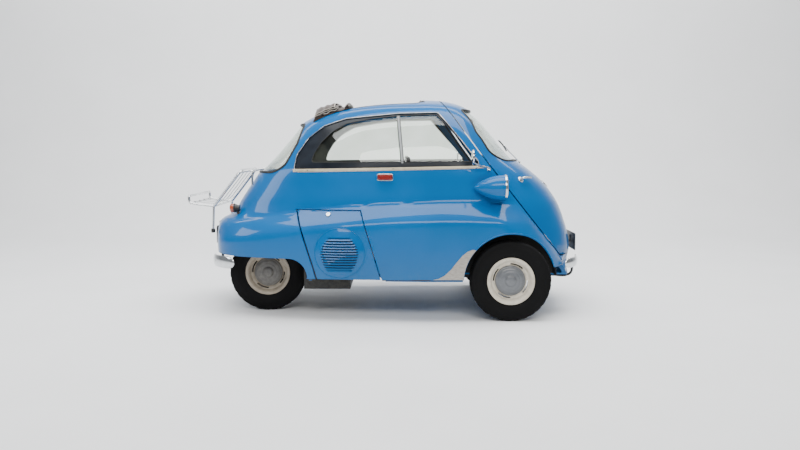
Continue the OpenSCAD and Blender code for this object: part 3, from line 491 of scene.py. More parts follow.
# ---------------------------------------------------------------------- shape of the skin
WHEELBASE, HALF_W = 1500, 690
MID = 11.25
FRONT_X, REAR_X = MID + 750, MID - 750
PLATE_X, RACK_X = 1248.75, -1248.75
WHEEL_Z, ARCH_R, SILL = 242, 288, 254
DOOR_LOW, GAP = 364, 7
SIDES = ((-1, "right"), (1, "left"))
LEVELS = [
    (190, 1166, -1050, 572), (300, 1192, -1078, 586), (400, 1205, -1089, 596),
    (500, 1189, -1090, 601), (572, 1166, -1072, 604), (622, 1148, -990, 605),
    (700, 1111, -945, 604), (800, 1037, -878, 592), (890, 936, -813, 584),
    (985, 806, -723, 564), (1090, 720, -631, 528), (1190, 634, -541, 474),
    (1260, 558, -400, 410), (1300, 494, -212, 334), (1327, 408, 36, 216),
    (1337.5, 324, 170, 105), (1340, 264, 236, 12)]
TOP = len(LEVELS) - 1
WIDE_X, FRONT_POWER, REAR_TAPER, CROWN = MID + 250, 2.65, 0.12, 120


def ease(u):
    """Smooth step from 0 to 1."""
    c = min(max(u, 0), 1)
    return c * c * (3 - 2 * c)


def crown(u):
    """Quarter-round rise from 0 to 1."""
    c = min(max(u, 0), 1)
    return math.sqrt(1 - (1 - c) ** 2)


@lru_cache(None)
def level(s):
    """Height, nose, tail, half width and corner power of the body at row s."""
    i = min(int(s), TOP - 1)
    f = s - i
    p, q, r, t = (LEVELS[max(0, min(TOP, k))] for k in (i - 1, i, i + 1, i + 2))
    c = [0.5 * (2 * q[k] + (r[k] - p[k]) * f + (2 * p[k] - 5 * q[k] + 4 * r[k] - t[k]) * f * f
                + (3 * q[k] - p[k] - 3 * r[k] + t[k]) * f ** 3) for k in range(4)]
    return c[0], MID + c[1], MID + c[2], c[3], 3.2 + 0.6 * ease((700 - c[0]) / 150)


@lru_cache(None)
def row_at(z):
    """The row at height z."""
    lo, hi = 0.0, float(TOP)
    for _ in range(22):
        m = (lo + hi) / 2
        lo, hi = (m, hi) if level(m)[0] < z else (lo, m)
    return (lo + hi) / 2


def seam_x(z):
    """The door seam, a leaning curve in side view."""
    h = z - 800
    return MID + 731 - 0.79 * h + h * h / 10000


def wing_share(x, z):
    """How much of the half width the wing takes here, 0 to 1."""
    top = 704 - 150 * ((x - MID - 420) / WHEELBASE) ** 2
    down, back = (top - z) / CROWN, (seam_x(z) - x - 8) / 210
    return (0.4 * crown(down) + 0.6 * ease(down)) * (0.5 * crown(back) + 0.5 * ease(back))


def half_at(x, z, cabin, plan):
    """Half width where the cabin blends into the wing."""
    t = (x - WIDE_X) / WHEELBASE
    k = wing_share(x, z)
    wing = HALF_W * (1 - 1.3 * t ** 4 if t > 0 else plan)
    return cabin * plan * (1 - k) + wing * k


def skin(s, a, depth=0.0):
    """Point of the skin on row s at angle a in degrees (0 nose, 90 left), pushed in."""
    if depth:
        d = 0.02
        p = Vector(skin(s, a))
        up = Vector(skin(min(s + d, TOP), a)) - Vector(skin(max(s - d, 0), a))
        turn = Vector(skin(s, a + 0.4)) - Vector(skin(s, a - 0.4))
        n = turn.cross(up).normalized() if s < TOP - 0.2 else Vector((0, 0, 1))
        return tuple(p - depth * n)
    z, xf, xr, half, p = level(s)
    a = radians(a)
    ca, sa = cos(a), sin(a)
    ahead = ca >= 0
    p = FRONT_POWER if ahead else p
    t = abs(ca) ** (2 / p)
    x = WIDE_X + t * ((xf if ahead else xr) - WIDE_X)
    plan = abs(sa) ** (2 / p) * (1 if ahead else 1 - REAR_TAPER * t)
    return x, math.copysign(half_at(x, z, half, plan), sa), z


def skin_y(x, z):
    """Half width of the body at x, z."""
    _, xf, xr, half, p = level(row_at(z))
    ahead = x >= WIDE_X
    p = FRONT_POWER if ahead else p
    t = min(abs(x - WIDE_X) / abs((xf if ahead else xr) - WIDE_X), 1)
    return half_at(x, z, half, (1 - t ** p) ** (1 / p) * (1 if ahead else 1 - REAR_TAPER * t))


def nose_x(y, z):
    """The nose at y, z."""
    _, xf, _, half, _ = level(row_at(z))
    return WIDE_X + (xf - WIDE_X) * (1 - min(abs(y) / half, 1) ** FRONT_POWER) ** (
        1 / FRONT_POWER)


def tail_x(y, z):
    """The tail at y, z."""
    lo, hi = WIDE_X, level(row_at(z))[2]
    for _ in range(24):
        m = (lo + hi) / 2
        lo, hi = (m, hi) if skin_y(m, z) > abs(y) else (lo, m)
    return (lo + hi) / 2


def side_prism(name, outline, y0=-900, y1=900):
    """Prism across the car of an outline in side view."""
    return prism(name, [(x, y1, z) for x, z in outline], (0, y0 - y1, 0))


def end_prism(name, outline, x0, x1):
    """Prism along the car of an outline seen from an end."""
    return prism(name, [(x0, y, z) for y, z in outline], (x1 - x0, 0, 0))


def seam_line(shift):
    """The door seam moved ahead by shift, from below the sill to above the roof."""
    low, high, steps = -100, 1500, 53
    heights = [low + (high - low) * k / steps for k in range(steps + 1)]
    return [(seam_x(z) + shift, z) for z in heights]


def ahead_prism(shift):
    """All that lies ahead of the door seam moved by shift."""
    return side_prism("ahead", seam_line(shift) + [(3000, 1500), (3000, -100)])


SEAM_SHIFT = GAP / 2 / 0.79
SIDE_WINDOW = rounded([(MID + x, z) for x, z in (
    (-558, 886), (588, 912), (322, 1243), (92, 1239), (-240, 1208), (-372, 1165),
    (-470, 1092), (-540, 990))], 26)
# the clear glass inside the dark frame, well in at the rear corner
SIDE_GLASS = rounded([(MID + x, z) for x, z in (
    (-452, 944), (572, 952), (313, 1234), (92, 1229), (-80, 1211), (-238, 1181),
    (-326, 1130), (-390, 1068), (-432, 1000))], [14, 14, 26, 60, 60, 60, 60, 60, 60])
REAR_WINDOW = rounded([(416, 880), (347, 1060), (272, 1160), (236, 1180), (-236, 1180),
                       (-272, 1160), (-347, 1060), (-416, 880)], 46)
WINDSCREEN = rounded([(-468, 952), (468, 952), (425, 1130), (330, 1268), (-330, 1268),
                      (-425, 1130)], 60)
ROOF_HOLE = rounded([(MID - 345, -285), (MID + 225, -300), (MID + 225, 300),
                     (MID - 345, 285)], 60)
HATCH = [(MID - 404, SILL), (MID - 24, SILL), (MID - 146, 656), (MID - 532, 656)]


def grown(points, d):
    """The convex outline moved out by d."""
    out = []
    n = len(points)
    area = sum(points[k - 1][0] * points[k][1] - points[k][0] * points[k - 1][1]
               for k in range(n))
    turn = 1 if area > 0 else -1
    for k in range(n):
        a, p, b = (Vector(points[i % n]) for i in (k - 1, k, k + 1))
        u, v = (p - a).normalized(), (b - p).normalized()
        n1, n2 = Vector((u.y, -u.x)) * turn, Vector((v.y, -v.x)) * turn
        m = (n1 + n2).normalized()
        out.append(tuple(p + m * (d / max(0.3, m.dot(n1)))))
    return out


def fit(where, u, v, depth=0.0):
    """A place on the skin pushed in by depth: (x, z) on a side, (y, z) on nose or tail."""
    d = 3.0
    f = {"nose": nose_x, "tail": tail_x}.get(where, skin_y)
    at = f(u, v)
    du, dv = (f(u + d, v) - f(u - d, v)) / (2 * d), (f(u, v + d) - f(u, v - d)) / (2 * d)
    if where in ("left", "right"):
        side = 1 if where == "left" else -1
        p, n = Vector((u, side * at, v)), Vector((-du, side, -dv))
    else:
        out = 1 if where == "nose" else -1
        p, n = Vector((at, u, v)), Vector((1, -du, -dv)) * out
    return tuple(p - n.normalized() * depth)


def top_z(x, y):
    """Height of the roof skin at x, y."""
    lo, hi = 1150.0, 1340.0
    for _ in range(20):
        m = (lo + hi) / 2
        lo, hi = (m, hi) if skin_y(x, m) > abs(y) and \
            level(row_at(m))[2] < x < level(row_at(m))[1] else (lo, m)
    return (lo + hi) / 2


def grid(name, nu, nv, place):
    """Grid primitive of nu by nv cells whose corners go to place(i, j)."""
    o = started(name, "grid", x_subdivisions=nu, y_subdivisions=nv, size=1)
    for v in o.data.vertices:
        v.co = [c * MM for c in place(round((v.co.x + 0.5) * nu), round((v.co.y + 0.5) * nv))]
    o.data.update()
    return o


def outward(o, direction):
    """Turns the sheet so that most of its faces look along direction."""
    if sum(f.area * f.normal.dot(direction(f.center)) for f in o.data.polygons) < 0:
        edit(o, bpy.ops.mesh.flip_normals)
    return o


FACING = {"left": Vector((0, 1, 0)), "right": Vector((0, -1, 0)),
          "nose": Vector((1, 0, 0)), "tail": Vector((-1, 0, 0))}


def through(name, outline, where):
    """Prism of the outline, long enough to cut that side of the body."""
    if where in ("left", "right"):
        return side_prism(name, outline, *((0, 900) if where == "left" else (-900, 0)))
    return end_prism(name, outline, *((0, 1400) if where == "nose" else (-1400, 0)))


def patch(name, outline, where, depth, thick, hole=None, step=16):
    """Panel of that outline laid on the skin at depth, with a wall going inwards."""
    us, vs = [p[0] for p in outline], [p[1] for p in outline]
    u0, u1, v0, v1 = min(us) - step, max(us) + step, min(vs) - step, max(vs) + step
    nu, nv = math.ceil((u1 - u0) / step), math.ceil((v1 - v0) / step)
    o = grid(name, nu, nv, lambda i, j: fit(where, u0 + (u1 - u0) * i / nu,
                                            v0 + (v1 - v0) * j / nv, depth))
    outward(o, lambda c: FACING[where])
    modify(o, "SOLIDIFY", thickness=thick * MM, offset=-1, use_quality_normals=True,
           material_offset=1, material_offset_rim=0)
    cut(o, through("edge", outline, where), "INTERSECT")
    if hole:
        cut(o, through("hole", hole, where))
    return o


def bead(name, outline, where, depth, radius, closed=True):
    """Round bead along the outline on the skin."""
    return rod(name, [fit(where, u, v, depth) for u, v in dense(outline, 14, closed)], radius,
               closed, sides=3)


def standing(where, u, v, lift=0.0):
    """A place lift above the skin, and the skin's outward direction there."""
    p = Vector(fit(where, u, v, -lift))
    return p, (p - Vector(fit(where, u, v, 5 - lift))).normalized()


def arc(centre, r, degrees):
    """Points at those angles round centre."""
    return [(centre[0] + r * cos(radians(a)), centre[1] + r * sin(radians(a)))
            for a in degrees]


def all_round(n):
    """n even angles of a whole turn."""
    return [360 * k / n for k in range(n)]


def loft(name, rings):
    """Closed skin over rings of equal length."""
    n = len(rings[0])
    o = grid(name, n, len(rings) - 1, lambda i, j: rings[j][i % n])
    edit(o, merge(0.001))
    bm = bmesh.new()
    bm.from_mesh(o.data)
    bmesh.ops.holes_fill(bm, edges=[e for e in bm.edges if e.is_boundary], sides=0)
    bm.to_mesh(o.data)
    bm.free()
    return edit(o, face_out)


# ------------------------------------------------------------------------- the body shell
def even_rows(s0, s1, n):
    """n + 1 row numbers with equal steps along the rear profile."""
    fine = [s0 + (s1 - s0) * k / 600 for k in range(601)]
    run = [0.0]
    for a, b in zip(fine, fine[1:]):
        p, q = level(a), level(b)
        run.append(run[-1] + math.dist((p[0], p[2] * 0.6, p[3] * 0.5),
                                       (q[0], q[2] * 0.6, q[3] * 0.5)))
    out, k = [], 0
    for j in range(n + 1):
        want = run[-1] * j / n
        while k < 599 and run[k + 1] < want:
            k += 1
        out.append(fine[k] + (fine[k + 1] - fine[k]) * (want - run[k]) /
                   max(1e-9, run[k + 1] - run[k]))
    return out


def shell(name, angles, rows, wall):
    """Panel over the skin between angles and rows, with an inward wall."""
    o = grid(name, len(angles) - 1, len(rows) - 1, lambda i, j: skin(rows[j], angles[i])
             if rows[j] < TOP - 1e-6 else (WIDE_X, 0, 1340))
    edit(o, merge(0.2))
    outward(o, lambda c: c - Vector((0.25, 0, 0.6)))
    return modify(o, "SOLIDIFY", thickness=wall * MM, offset=-1, use_quality_normals=True,
                  material_offset=1, material_offset_rim=0)


def round_cutter():
    """One bar through both front arches."""
    o = started("arch", "cylinder", vertices=144, radius=ARCH_R * MM, depth=1.8)
    return put(o, (FRONT_X, 0, WHEEL_Z), "Y")


STEP_X, STEP_R, TAIL_LOW = MID - 470, 120, 376
UNDER = arc((STEP_X - 108, 256), STEP_R, range(0, 91, 9))


def body_shell():
    """The body panels in one skin, with every opening cut through."""
    n = 270
    angles = [360 * k / n + 7 * sin(radians(720 * k / n)) for k in range(n + 1)]
    o = shell("body_shell", angles, even_rows(row_at(240), TOP, 105), 18)
    cut(o, ahead_prism(-SEAM_SHIFT))
    cut(o, side_prism("under", [(-3000, -100), (3000, -100), (3000, 316), (FRONT_X, 316),
                                (FRONT_X, SILL), (STEP_X, SILL)] + UNDER +
                      [(-3000, TAIL_LOW)]))
    cut(o, round_cutter())
    for where in ("left", "right"):
        cut(o, through("window", SIDE_WINDOW, where))
    cut(o, through("window", REAR_WINDOW, "tail"))
    cut(o, prism("roof", [(x, y, 1240) for x, y in ROOF_HOLE], (0, 0, 200)))
    cut(o, through("hatch", grown(HATCH, GAP), "right"))
    zone = prism("apron", [(FRONT_X + 20, y, z) for y, z in (
        (-395, 0), (395, 0), (395, DOOR_LOW - GAP), (-395, DOOR_LOW - GAP))], (600, 0, 0))
    cut(o, zone)
    finish(o, [PAINT, TRIM], "body", ("body_side_left", "body_side_right", "roof_frame",
                                      "rear_panel"), angle=40)


def seam_path(shift, depth, low):
    """Both sides of the door seam from low over the roof, from right to left."""
    lo, hi = 1300.0, 1340.0
    for _ in range(30):
        m = (lo + hi) / 2
        lo, hi = (m, hi) if skin_y(seam_x(m) + shift, m) > 1 else (lo, m)
    half = []
    for k in range(71):
        z = low + (lo - low) * sin(pi / 2 * k / 70)
        half.append(fit("right", seam_x(z) + shift, z, depth) if z < 1322 else
                    (seam_x(z) + shift, -skin_y(seam_x(z) + shift, z), z - depth))
    return half + [(x, -y, z) for x, y, z in half[::-1][1:]]


def door_shell():
    """The whole nose is the door: its skin, screen opening and rolled lower edge."""
    n = 130
    angles = [-88 + 176 * k / n for k in range(n + 1)]
    o = shell("door_shell", angles, even_rows(row_at(DOOR_LOW), TOP, 92), 24)
    cut(o, ahead_prism(SEAM_SHIFT), "INTERSECT")
    cut(o, through("screen", WINDSCREEN, "nose"))
    finish(o, [PAINT, TRIM], "door", "front_door", angle=40)
    low = [(nose_x(y, DOOR_LOW) - 5, y, DOOR_LOW + 4) for y in range(560, -561, -20)
           if nose_x(y, DOOR_LOW) > seam_x(DOOR_LOW) + 6]
    finish(rod("door_lower_edge", low, 4.5), PAINT, "door")


def seam_trim():
    """Black sponge seal in the door gap, and the rolled edge of the body beside it."""
    seal = seam_path(-SEAM_SHIFT - 2, 13, DOOR_LOW)
    y0 = abs(seal[0][1])
    low = [(nose_x(y, DOOR_LOW) - 13, y, DOOR_LOW - 6)
           for y in range(int(y0) - 20, -int(y0) + 19, -20)]
    finish(rod("door_seal", seal + low, 7.5, True), RUBBER)
    edge = seam_path(-SEAM_SHIFT - 2.5, 3.2, 322)
    finish(rod("front_rolled_edge", edge, 3.2), PAINT)


def arch_trim():
    """Rolled lips round the arches, sills and tail, and the stone guards."""
    for side, where in SIDES:
        lip = arc((FRONT_X, WHEEL_Z), ARCH_R,
                  [14.9 + (177.4 - 14.9) * k / 60 for k in range(61)])
        finish(rod("arch_lip_" + where, [fit(where, x, z, 4) for x, z in lip], 5.5), PAINT)
        ahead = [(x, 317) for x in range(int(FRONT_X + 279), 1145, 15)]
        finish(rod("wing_lip_" + where, [fit(where, x, z, 4) for x, z in ahead], 4), PAINT)
        # the lip under the sill is broken by the hatch on its side
        ends = [FRONT_X - 289, MID - 24 + 9, MID - 404 - 9, STEP_X + 14]
        ends = ends if side < 0 else ends[::3]
        for k, (a, b) in enumerate(zip(ends[::2], ends[1::2])):
            pts = dense([(a, SILL), (b, SILL)], 20, False)
            finish(rod(f"sill_lip_{where}_{k}", [fit(where, x, z, 5) for x, z in pts], 5),
                   SATIN_BLACK)
        # bare aluminium guard where the front wheel throws stones at the body
        guard = arc((FRONT_X, WHEEL_Z), ARCH_R - 3, range(177, 136, -3))
        guard += [(528, 436), (500, 425), (468, 400), (436, 362), (402, 318), (366, 284),
                  (330, 264), (296, 257)]
        finish(patch("stone_guard_" + where, guard, where, -1.6, 2.4), ALUMINIUM)
    s = row_at(TAIL_LOW)
    tail = [skin(s, a, 5) for a in range(95, 266, 2)]
    tail = [p for p in tail if p[0] < STEP_X - 110]
    left = [fit("left", x, z, 5) for x, z in UNDER]
    right = [fit("right", x, z, 5) for x, z in UNDER]
    finish(rod("tail_lip", left + tail + right[::-1], 5), PAINT)


def roof_edge():
    """Rubber seal round the roof opening."""
    ring = [(x, y, top_z(x, y) - 4) for x, y in dense(ROOF_HOLE, 14)]
    finish(rod("roof_opening_seal", ring, 6, True), RUBBER)


# ------------------------------------------------------------------------------- glazing
BAR = [(MID + 112, 860), (MID + 76, 1280)]


def slanted(shift):
    """Outline of everything ahead of the divider bar shifted by shift."""
    return [(BAR[0][0] + shift, BAR[0][1]), (BAR[0][0] + 900, 860), (BAR[0][0] + 900, 1280),
            (BAR[1][0] + shift, BAR[1][1])]


def side_windows():
    """Two sliding panes a side in a dark frame, with felt channel, sill strip and knob."""
    for where in ("right", "left"):
        finish(patch("rear_side_glass_" + where, grown(SIDE_WINDOW, 2), where, 12, 4,
                     slanted(6)), GLASS, "body", "side_windows")
        front = patch("front_side_glass_" + where, grown(SIDE_WINDOW, 2), where, 7.5, 4)
        cut(front, through("ahead", slanted(-14), where), "INTERSECT")
        finish(front, GLASS, "body", "side_windows")
        # the frame's blue-black is painted shade on a blue frame
        finish(patch("window_frame_" + where, grown(SIDE_WINDOW, 3), where, 5, 3, SIDE_GLASS,
                     18), FRAME_BLUE_IN_PAINTED_SHADE)
        finish(bead("window_edge_" + where, grown(SIDE_WINDOW, 2.5), where, 0.5, 3),
               DULL_CHROME)
        finish(bead("glass_channel_" + where, SIDE_GLASS, where, 5, 2.6), RUBBER)
        # sliding channel: two dark uprights with felt between them
        low, high = (Vector(BAR[0]).lerp(Vector(BAR[1]), t) for t in (0.19, 0.875))
        for k, (a, b, mat, deep) in enumerate(((-11, -6, SATIN_BLACK, 1.5),
                                               (-6, 6, FELT, 4),
                                               (6, 11, SATIN_BLACK, 1.5))):
            quad = [(low.x + a, low.y), (low.x + b, low.y), (high.x + b, high.y),
                    (high.x + a, high.y)]
            finish(patch(f"channel_{where}_{k}", quad, where, deep, 5, None, 10), mat)
        strip = [(MID - 562, 884), (MID + 596, 910), (MID + 600, 925), (MID - 566, 902)]
        o = patch("sill_strip_" + where, strip, where, -1.5, 3)
        modify(o, "BEVEL", width=0.0009, segments=2, limit_method="ANGLE")
        finish(o, STRIP)
        for k in range(3):
            x = MID - 470 + 520 * k
            o = turned(f"strip_screw_{where}_{k}", [(0, 0), (3.4, 0), (3, 1.6), (0, 2.2)],
                       steps=16)
            put(o, *standing(where, x, 893 + 0.0225 * (x - MID + 562), 1.4))
            finish(o, SATIN_BLACK)
        o = turned("pane_knob_" + where, [(0, 0), (12, 0), (12, 5), (8, 8), (9, 13),
                                          (13, 16), (12, 21), (0, 23)], steps=32)
        put(o, *standing(where, MID + 140, 962, -6))
        finish(o, SATIN_BLACK)


def end_windows():
    """Windscreen and wrap-round rear window in their rubbers."""
    finish(patch("windscreen_glass", grown(WINDSCREEN, 4), "nose", 11, 5), GLASS, "door",
           "windscreen")
    finish(bead("windscreen_rubber", WINDSCREEN, "nose", 2.5, 8.5), RUBBER, "door")
    finish(patch("rear_window_glass", grown(REAR_WINDOW, 4), "tail", 10, 4), GLASS, "body",
           "rear_window")
    finish(bead("rear_window_rubber", REAR_WINDOW, "tail", 2.5, 9), RUBBER)


# ----------------------------------------------------------------------- engine hatch
DOME = (MID - 266, 410)
DOME_R, DOME_RISE = 150, 26


def engine_hatch():
    """Hatch on the right rear side with its louvred dome and lock."""
    outline = [(x + (4 if k in (0, 3) else 0), z) for k, (x, z) in enumerate(HATCH)]
    disc = arc(DOME, DOME_R - 4, all_round(72))
    o = patch("hatch_panel", outline, "right", 0, 13, disc, 14)
    for f in o.data.polygons:
        f.material_index = 0
    finish(o, PAINT, "engine_hatch", "engine_hatch")
    finish(bead("hatch_edge", grown(outline, -3), "right", 2.6, 3), PAINT, "engine_hatch")
    # rolled edge of the opening: up both sides and along the top, clear of the hinge side
    low_rear, low_front, top_front, top_rear = (Vector(p) for p in grown(HATCH, GAP + 1))
    finish(bead("hatch_opening_edge", [low_front.lerp(top_front, 0.12), top_front, top_rear,
                                       low_rear.lerp(top_rear, 0.12)], "right", 2.4, 3, False),
           PAINT)
    # louvred dome: each row of cells leans out and drops back at its lower lip
    first, slats, pitch, lip = -96, 12, 15.6, 8.0
    lips = []
    for k in range(slats):
        z = first + pitch * k
        lips += [(z, -0.9), (z + 0.5, 0.8), (z + 2.5, 1.0), (z + pitch * 0.58, 0.3),
                 (z + pitch * 0.62, -0.9)]
    rows = [(-DOME_R, 0), (-140, 0), (-125, 0), (-110, 0)] + lips + [
        (95, 0), (110, 0), (125, 0), (140, 0), (DOME_R, 0)]
    widths = ((-96, 84), (-60, 104), (0, 118), (40, 108), (96, 66))
    nu = 96

    def reach(z):
        for (a, wa), (b, wb) in zip(widths, widths[1:]):
            if z <= b:
                return wa + (wb - wa) * max(0, z - a) / (b - a)
        return widths[-1][1]

    def place(i, j):
        z, out = rows[j]
        half = math.sqrt(max(0, DOME_R ** 2 - z * z))
        x = half * sin(pi / 2 * (2 * i / nu - 1))
        r = math.hypot(x, z) / DOME_R
        rise = DOME_RISE * (1 - ease(r) * 0.25 - 0.75 * r ** 2.2)
        edge = ease((reach(z) - abs(x)) / 16)
        return fit("right", DOME[0] + x, DOME[1] + z, -(rise + 0.3 + lip * out * edge))
    o = grid("louvred_dome", nu, len(rows) - 1, place)
    edit(o, merge(0.05))
    outward(o, lambda c: FACING["right"])
    modify(o, "SOLIDIFY", thickness=0.0022, offset=-1, use_quality_normals=True)
    finish(o, [PAINT, SATIN_BLACK], "engine_hatch", angle=30)
    # the recessed band under each lip gets satin black: painted shade in the recess, standing
    # for the dark slot behind the lip
    for f in o.data.polygons:
        x, z = f.center.x / MM - DOME[0], f.center.z / MM - DOME[1]
        slot_part = ((z - first) % pitch) / pitch
        if first < z < first + pitch * slats - 2 and abs(x) < reach(z) - 5 and \
                (slot_part > 0.6 or slot_part < 0.02):
            f.material_index = 1
    ring = [fit("right", x, z, -0.5) for x, z in arc(DOME, DOME_R - 1, all_round(72))]
    finish(rod("dome_flange", ring, 2.4, True), PAINT, "engine_hatch")
    lock = turned("hatch_lock", [(0, 0), (15, 0), (15, 3), (12, 6), (5, 6.5), (5, 3),
                                 (0, 3)], steps=40)
    put(lock, *standing("right", MID - 336, 634, 0.5))
    finish(lock, CHROME, "engine_hatch")


# ----------------------------------------------------------------------- lamps and trim
POD = (MID + 712, 611, 796)


def headlamps():
    """Bullet pods with a chrome rim, fluted glass, bowl and bulb."""
    for side, where in SIDES:
        centre = (POD[0], side * POD[1], POD[2])
        profile = [(0, -186)] + [
            (75 * 0.97 * max(0, cos(pi / 2 * u)) ** 0.75 + 0.2, -12 - 174 * u ** 0.9)
            for u in [1 - k / 18 for k in range(19)]]
        profile += [(75, -12), (75, 0), (70, 0), (70, -6), (0, -70)]
        finish(turned("headlamp_pod_" + where, profile, centre, "X", 72), PAINT, "body",
               "headlamp_pods")
        rim = [(78, -4), (78, 4), (76.5, 8), (73, 10.5), (69, 11), (66, 9.5), (65, 6),
               (68, 2), (71, -4)]
        finish(turned("headlamp_rim_" + where, rim, centre, "X", 96), CHROME, "body",
               "headlamp_lenses")
        bowl = [(67, 5), (67, 2), (64, -8), (54, -30), (38, -48), (14, -60), (0, -61),
                (0, -63), (16, -63), (40, -52), (57, -33), (69, -8), (69, 3)]
        finish(turned("headlamp_bowl_" + where, bowl, centre, "X", 72), REFLECTOR)
        bulb = [(0, -22), (6, -23), (10, -28), (11, -36), (9, -44), (9, -58), (0, -58)]
        finish(turned("headlamp_bulb_" + where, bulb, centre, "X", 32), LAMP_GLASS)
        glass = [(67, 5)] + [(67 * sin(radians(a)) / sin(radians(32)),
                              5 + 13 * (cos(radians(a)) - cos(radians(32))) /
                              (1 - cos(radians(32)))) for a in range(32, -1, -4)]
        glass += [(0, 14.5)] + [(r, z - 3.2) for r, z in glass[8:0:-1]]
        o = turned("headlamp_glass_" + where, glass, centre, "X", 96)
        for v in o.data.vertices:
            v.co.x += 0.0007 * sin(v.co.y / MM * 2 * pi / 9)
        finish(o, LAMP_GLASS, angle=60)


def side_lamps():
    """Oblong signal lamp high on each side: chrome foot and a domed red lens."""
    for where in ("right", "left"):
        x, z = MID + 2, 856
        for part, w, h, base, rise, mat in (("foot", 98, 45, -1, 5, DULL_CHROME),
                                            ("lens", 90, 37, 3, 17, RED_LENS)):
            rings = []
            for k in range(9):
                t = pi / 2 * k / 8
                shrink, lift = (1 - 0.34 * (1 - cos(t))), base + rise * sin(t)
                ring = oval(w * shrink, h * shrink, 48, 6)
                rings.append([fit(where, x + a, z + b, -lift) for a, b in ring])
            finish(loft(f"side_lamp_{part}_{where}", rings), mat, "body", "side_indicators"
                   if part == "lens" else (), angle=50)


def mirrors():
    """Round mirrors on bent arms ahead of the side windows."""
    for side, where in SIDES:
        head = (MID + 520, side * 640, 975)
        cup = [(0, 8), (16, 8), (34, 7.4), (43, 5), (46, 1), (46, -4), (43, -6), (40, -5.5),
               (0, -5.5)]
        finish(turned("mirror_head_" + where, cup, head, "X", 64), CHROME, "body", "mirrors")
        finish(turned("mirror_glass_" + where, [(0, -6.3), (39, -6.3), (40, -5.6), (0, -5.0)],
                      head, "X", 64), REFLECTOR)
        fz = 905
        fx = seam_x(fz) - 26
        foot = Vector((fx, side * (skin_y(fx, fz) + 6), fz))
        end = Vector(head) + Vector((2, -side * 12, -30))
        mid = foot.lerp(end, 0.5) + Vector((6, side * 5, -6))
        finish(rod("mirror_arm_" + where, [foot, foot + Vector((2, side * 9, 6)), mid, end],
                   4.6, False, True), CHROME)
        finish(turned("mirror_foot_" + where, [(0, -6), (13, -6), (13, -2), (10, 2), (6, 5),
                                               (0, 5)], foot, (0, side, 0.25), 32), CHROME)


def bumper_x(y, tip, half, power):
    """How far along a bumper stands at y."""
    return WIDE_X + (tip - WIDE_X) * (1 - min(abs(y) / half, 1) ** power) ** (1 / power)


def bumpers():
    """Quarter bumpers: crowned pressed bars on irons, each with one dome bolt."""
    for end, tip, half, power, y0, y1, low, tall in (
            ("front", PLATE_X - 4.3, 575, 4.5, 227, 480, 292, 62),
            ("rear", MID - 1121.5, 620, 3.8, 292, 498, 290, 76)):
        f = 1 if tip > 0 else -1
        for side, where in SIDES:
            rings, n = [], 44
            for k in range(n + 1):
                u = (1 - cos(pi * k / n)) / 2
                y = y0 + (y1 - y0) * u
                dx = (bumper_x(y + 1, tip, half, power) - bumper_x(y - 1, tip, half, power)) / 2
                out = Vector((1, -dx, 0)).normalized() * f
                size = math.sqrt(max(0.02, 1 - (2 * u - 1) ** 10))
                base = Vector((bumper_x(y, tip, half, power), y, low + tall / 2))
                ring = []
                for a, b in oval(14, tall, 28, 2.6):
                    bulge = (5 if a > 0 else 4) * (1 - (2 * b / tall) ** 2)
                    q = base + out * (a * size - 7 - 5 + bulge * size) + \
                        Vector((0, 0, b * size))
                    ring.append((q.x, side * q.y, q.z))
                rings.append(ring)
            finish(loft(f"{end}_bumper_bar_{where}", rings), CHROME, "body", end + "_bumper",
                   angle=50)
        for side, where in SIDES:
            if end == "front":
                py = 262
                px = bumper_x(py, tip, half, power) - 26
                path = [(FRONT_X + 300, side * 238, 219), (FRONT_X + 330, side * 250, 219),
                        (px - 34, side * py, 222), (px - 12, side * py, 238),
                        (px - 4, side * py, 290), (px + 2, side * py, 318)]
            else:
                py = 372
                px = bumper_x(py, tip, half, power) + 12
                tail = tail_x(py, 392)
                path = [(px, side * py, 331), (px + 14, side * py, 331),
                        (tail - 4, side * py, 333), (tail + 11, side * py, 345),
                        (tail + 12, side * py, 372)]
            finish(rod(f"{end}_bumper_iron_{where}", path, 8, False, True), SATIN_BLACK)
            bolt = turned(f"{end}_bumper_bolt_{where}", [(0, 0), (9, 0), (8.4, 2.6), (5, 4.6),
                                                         (0, 5.2)], steps=28)
            put(bolt, (bumper_x(py, tip, half, power) - f * 5.7, side * py, low + tall / 2),
                (f, 0, 0))
            finish(bolt, CHROME)


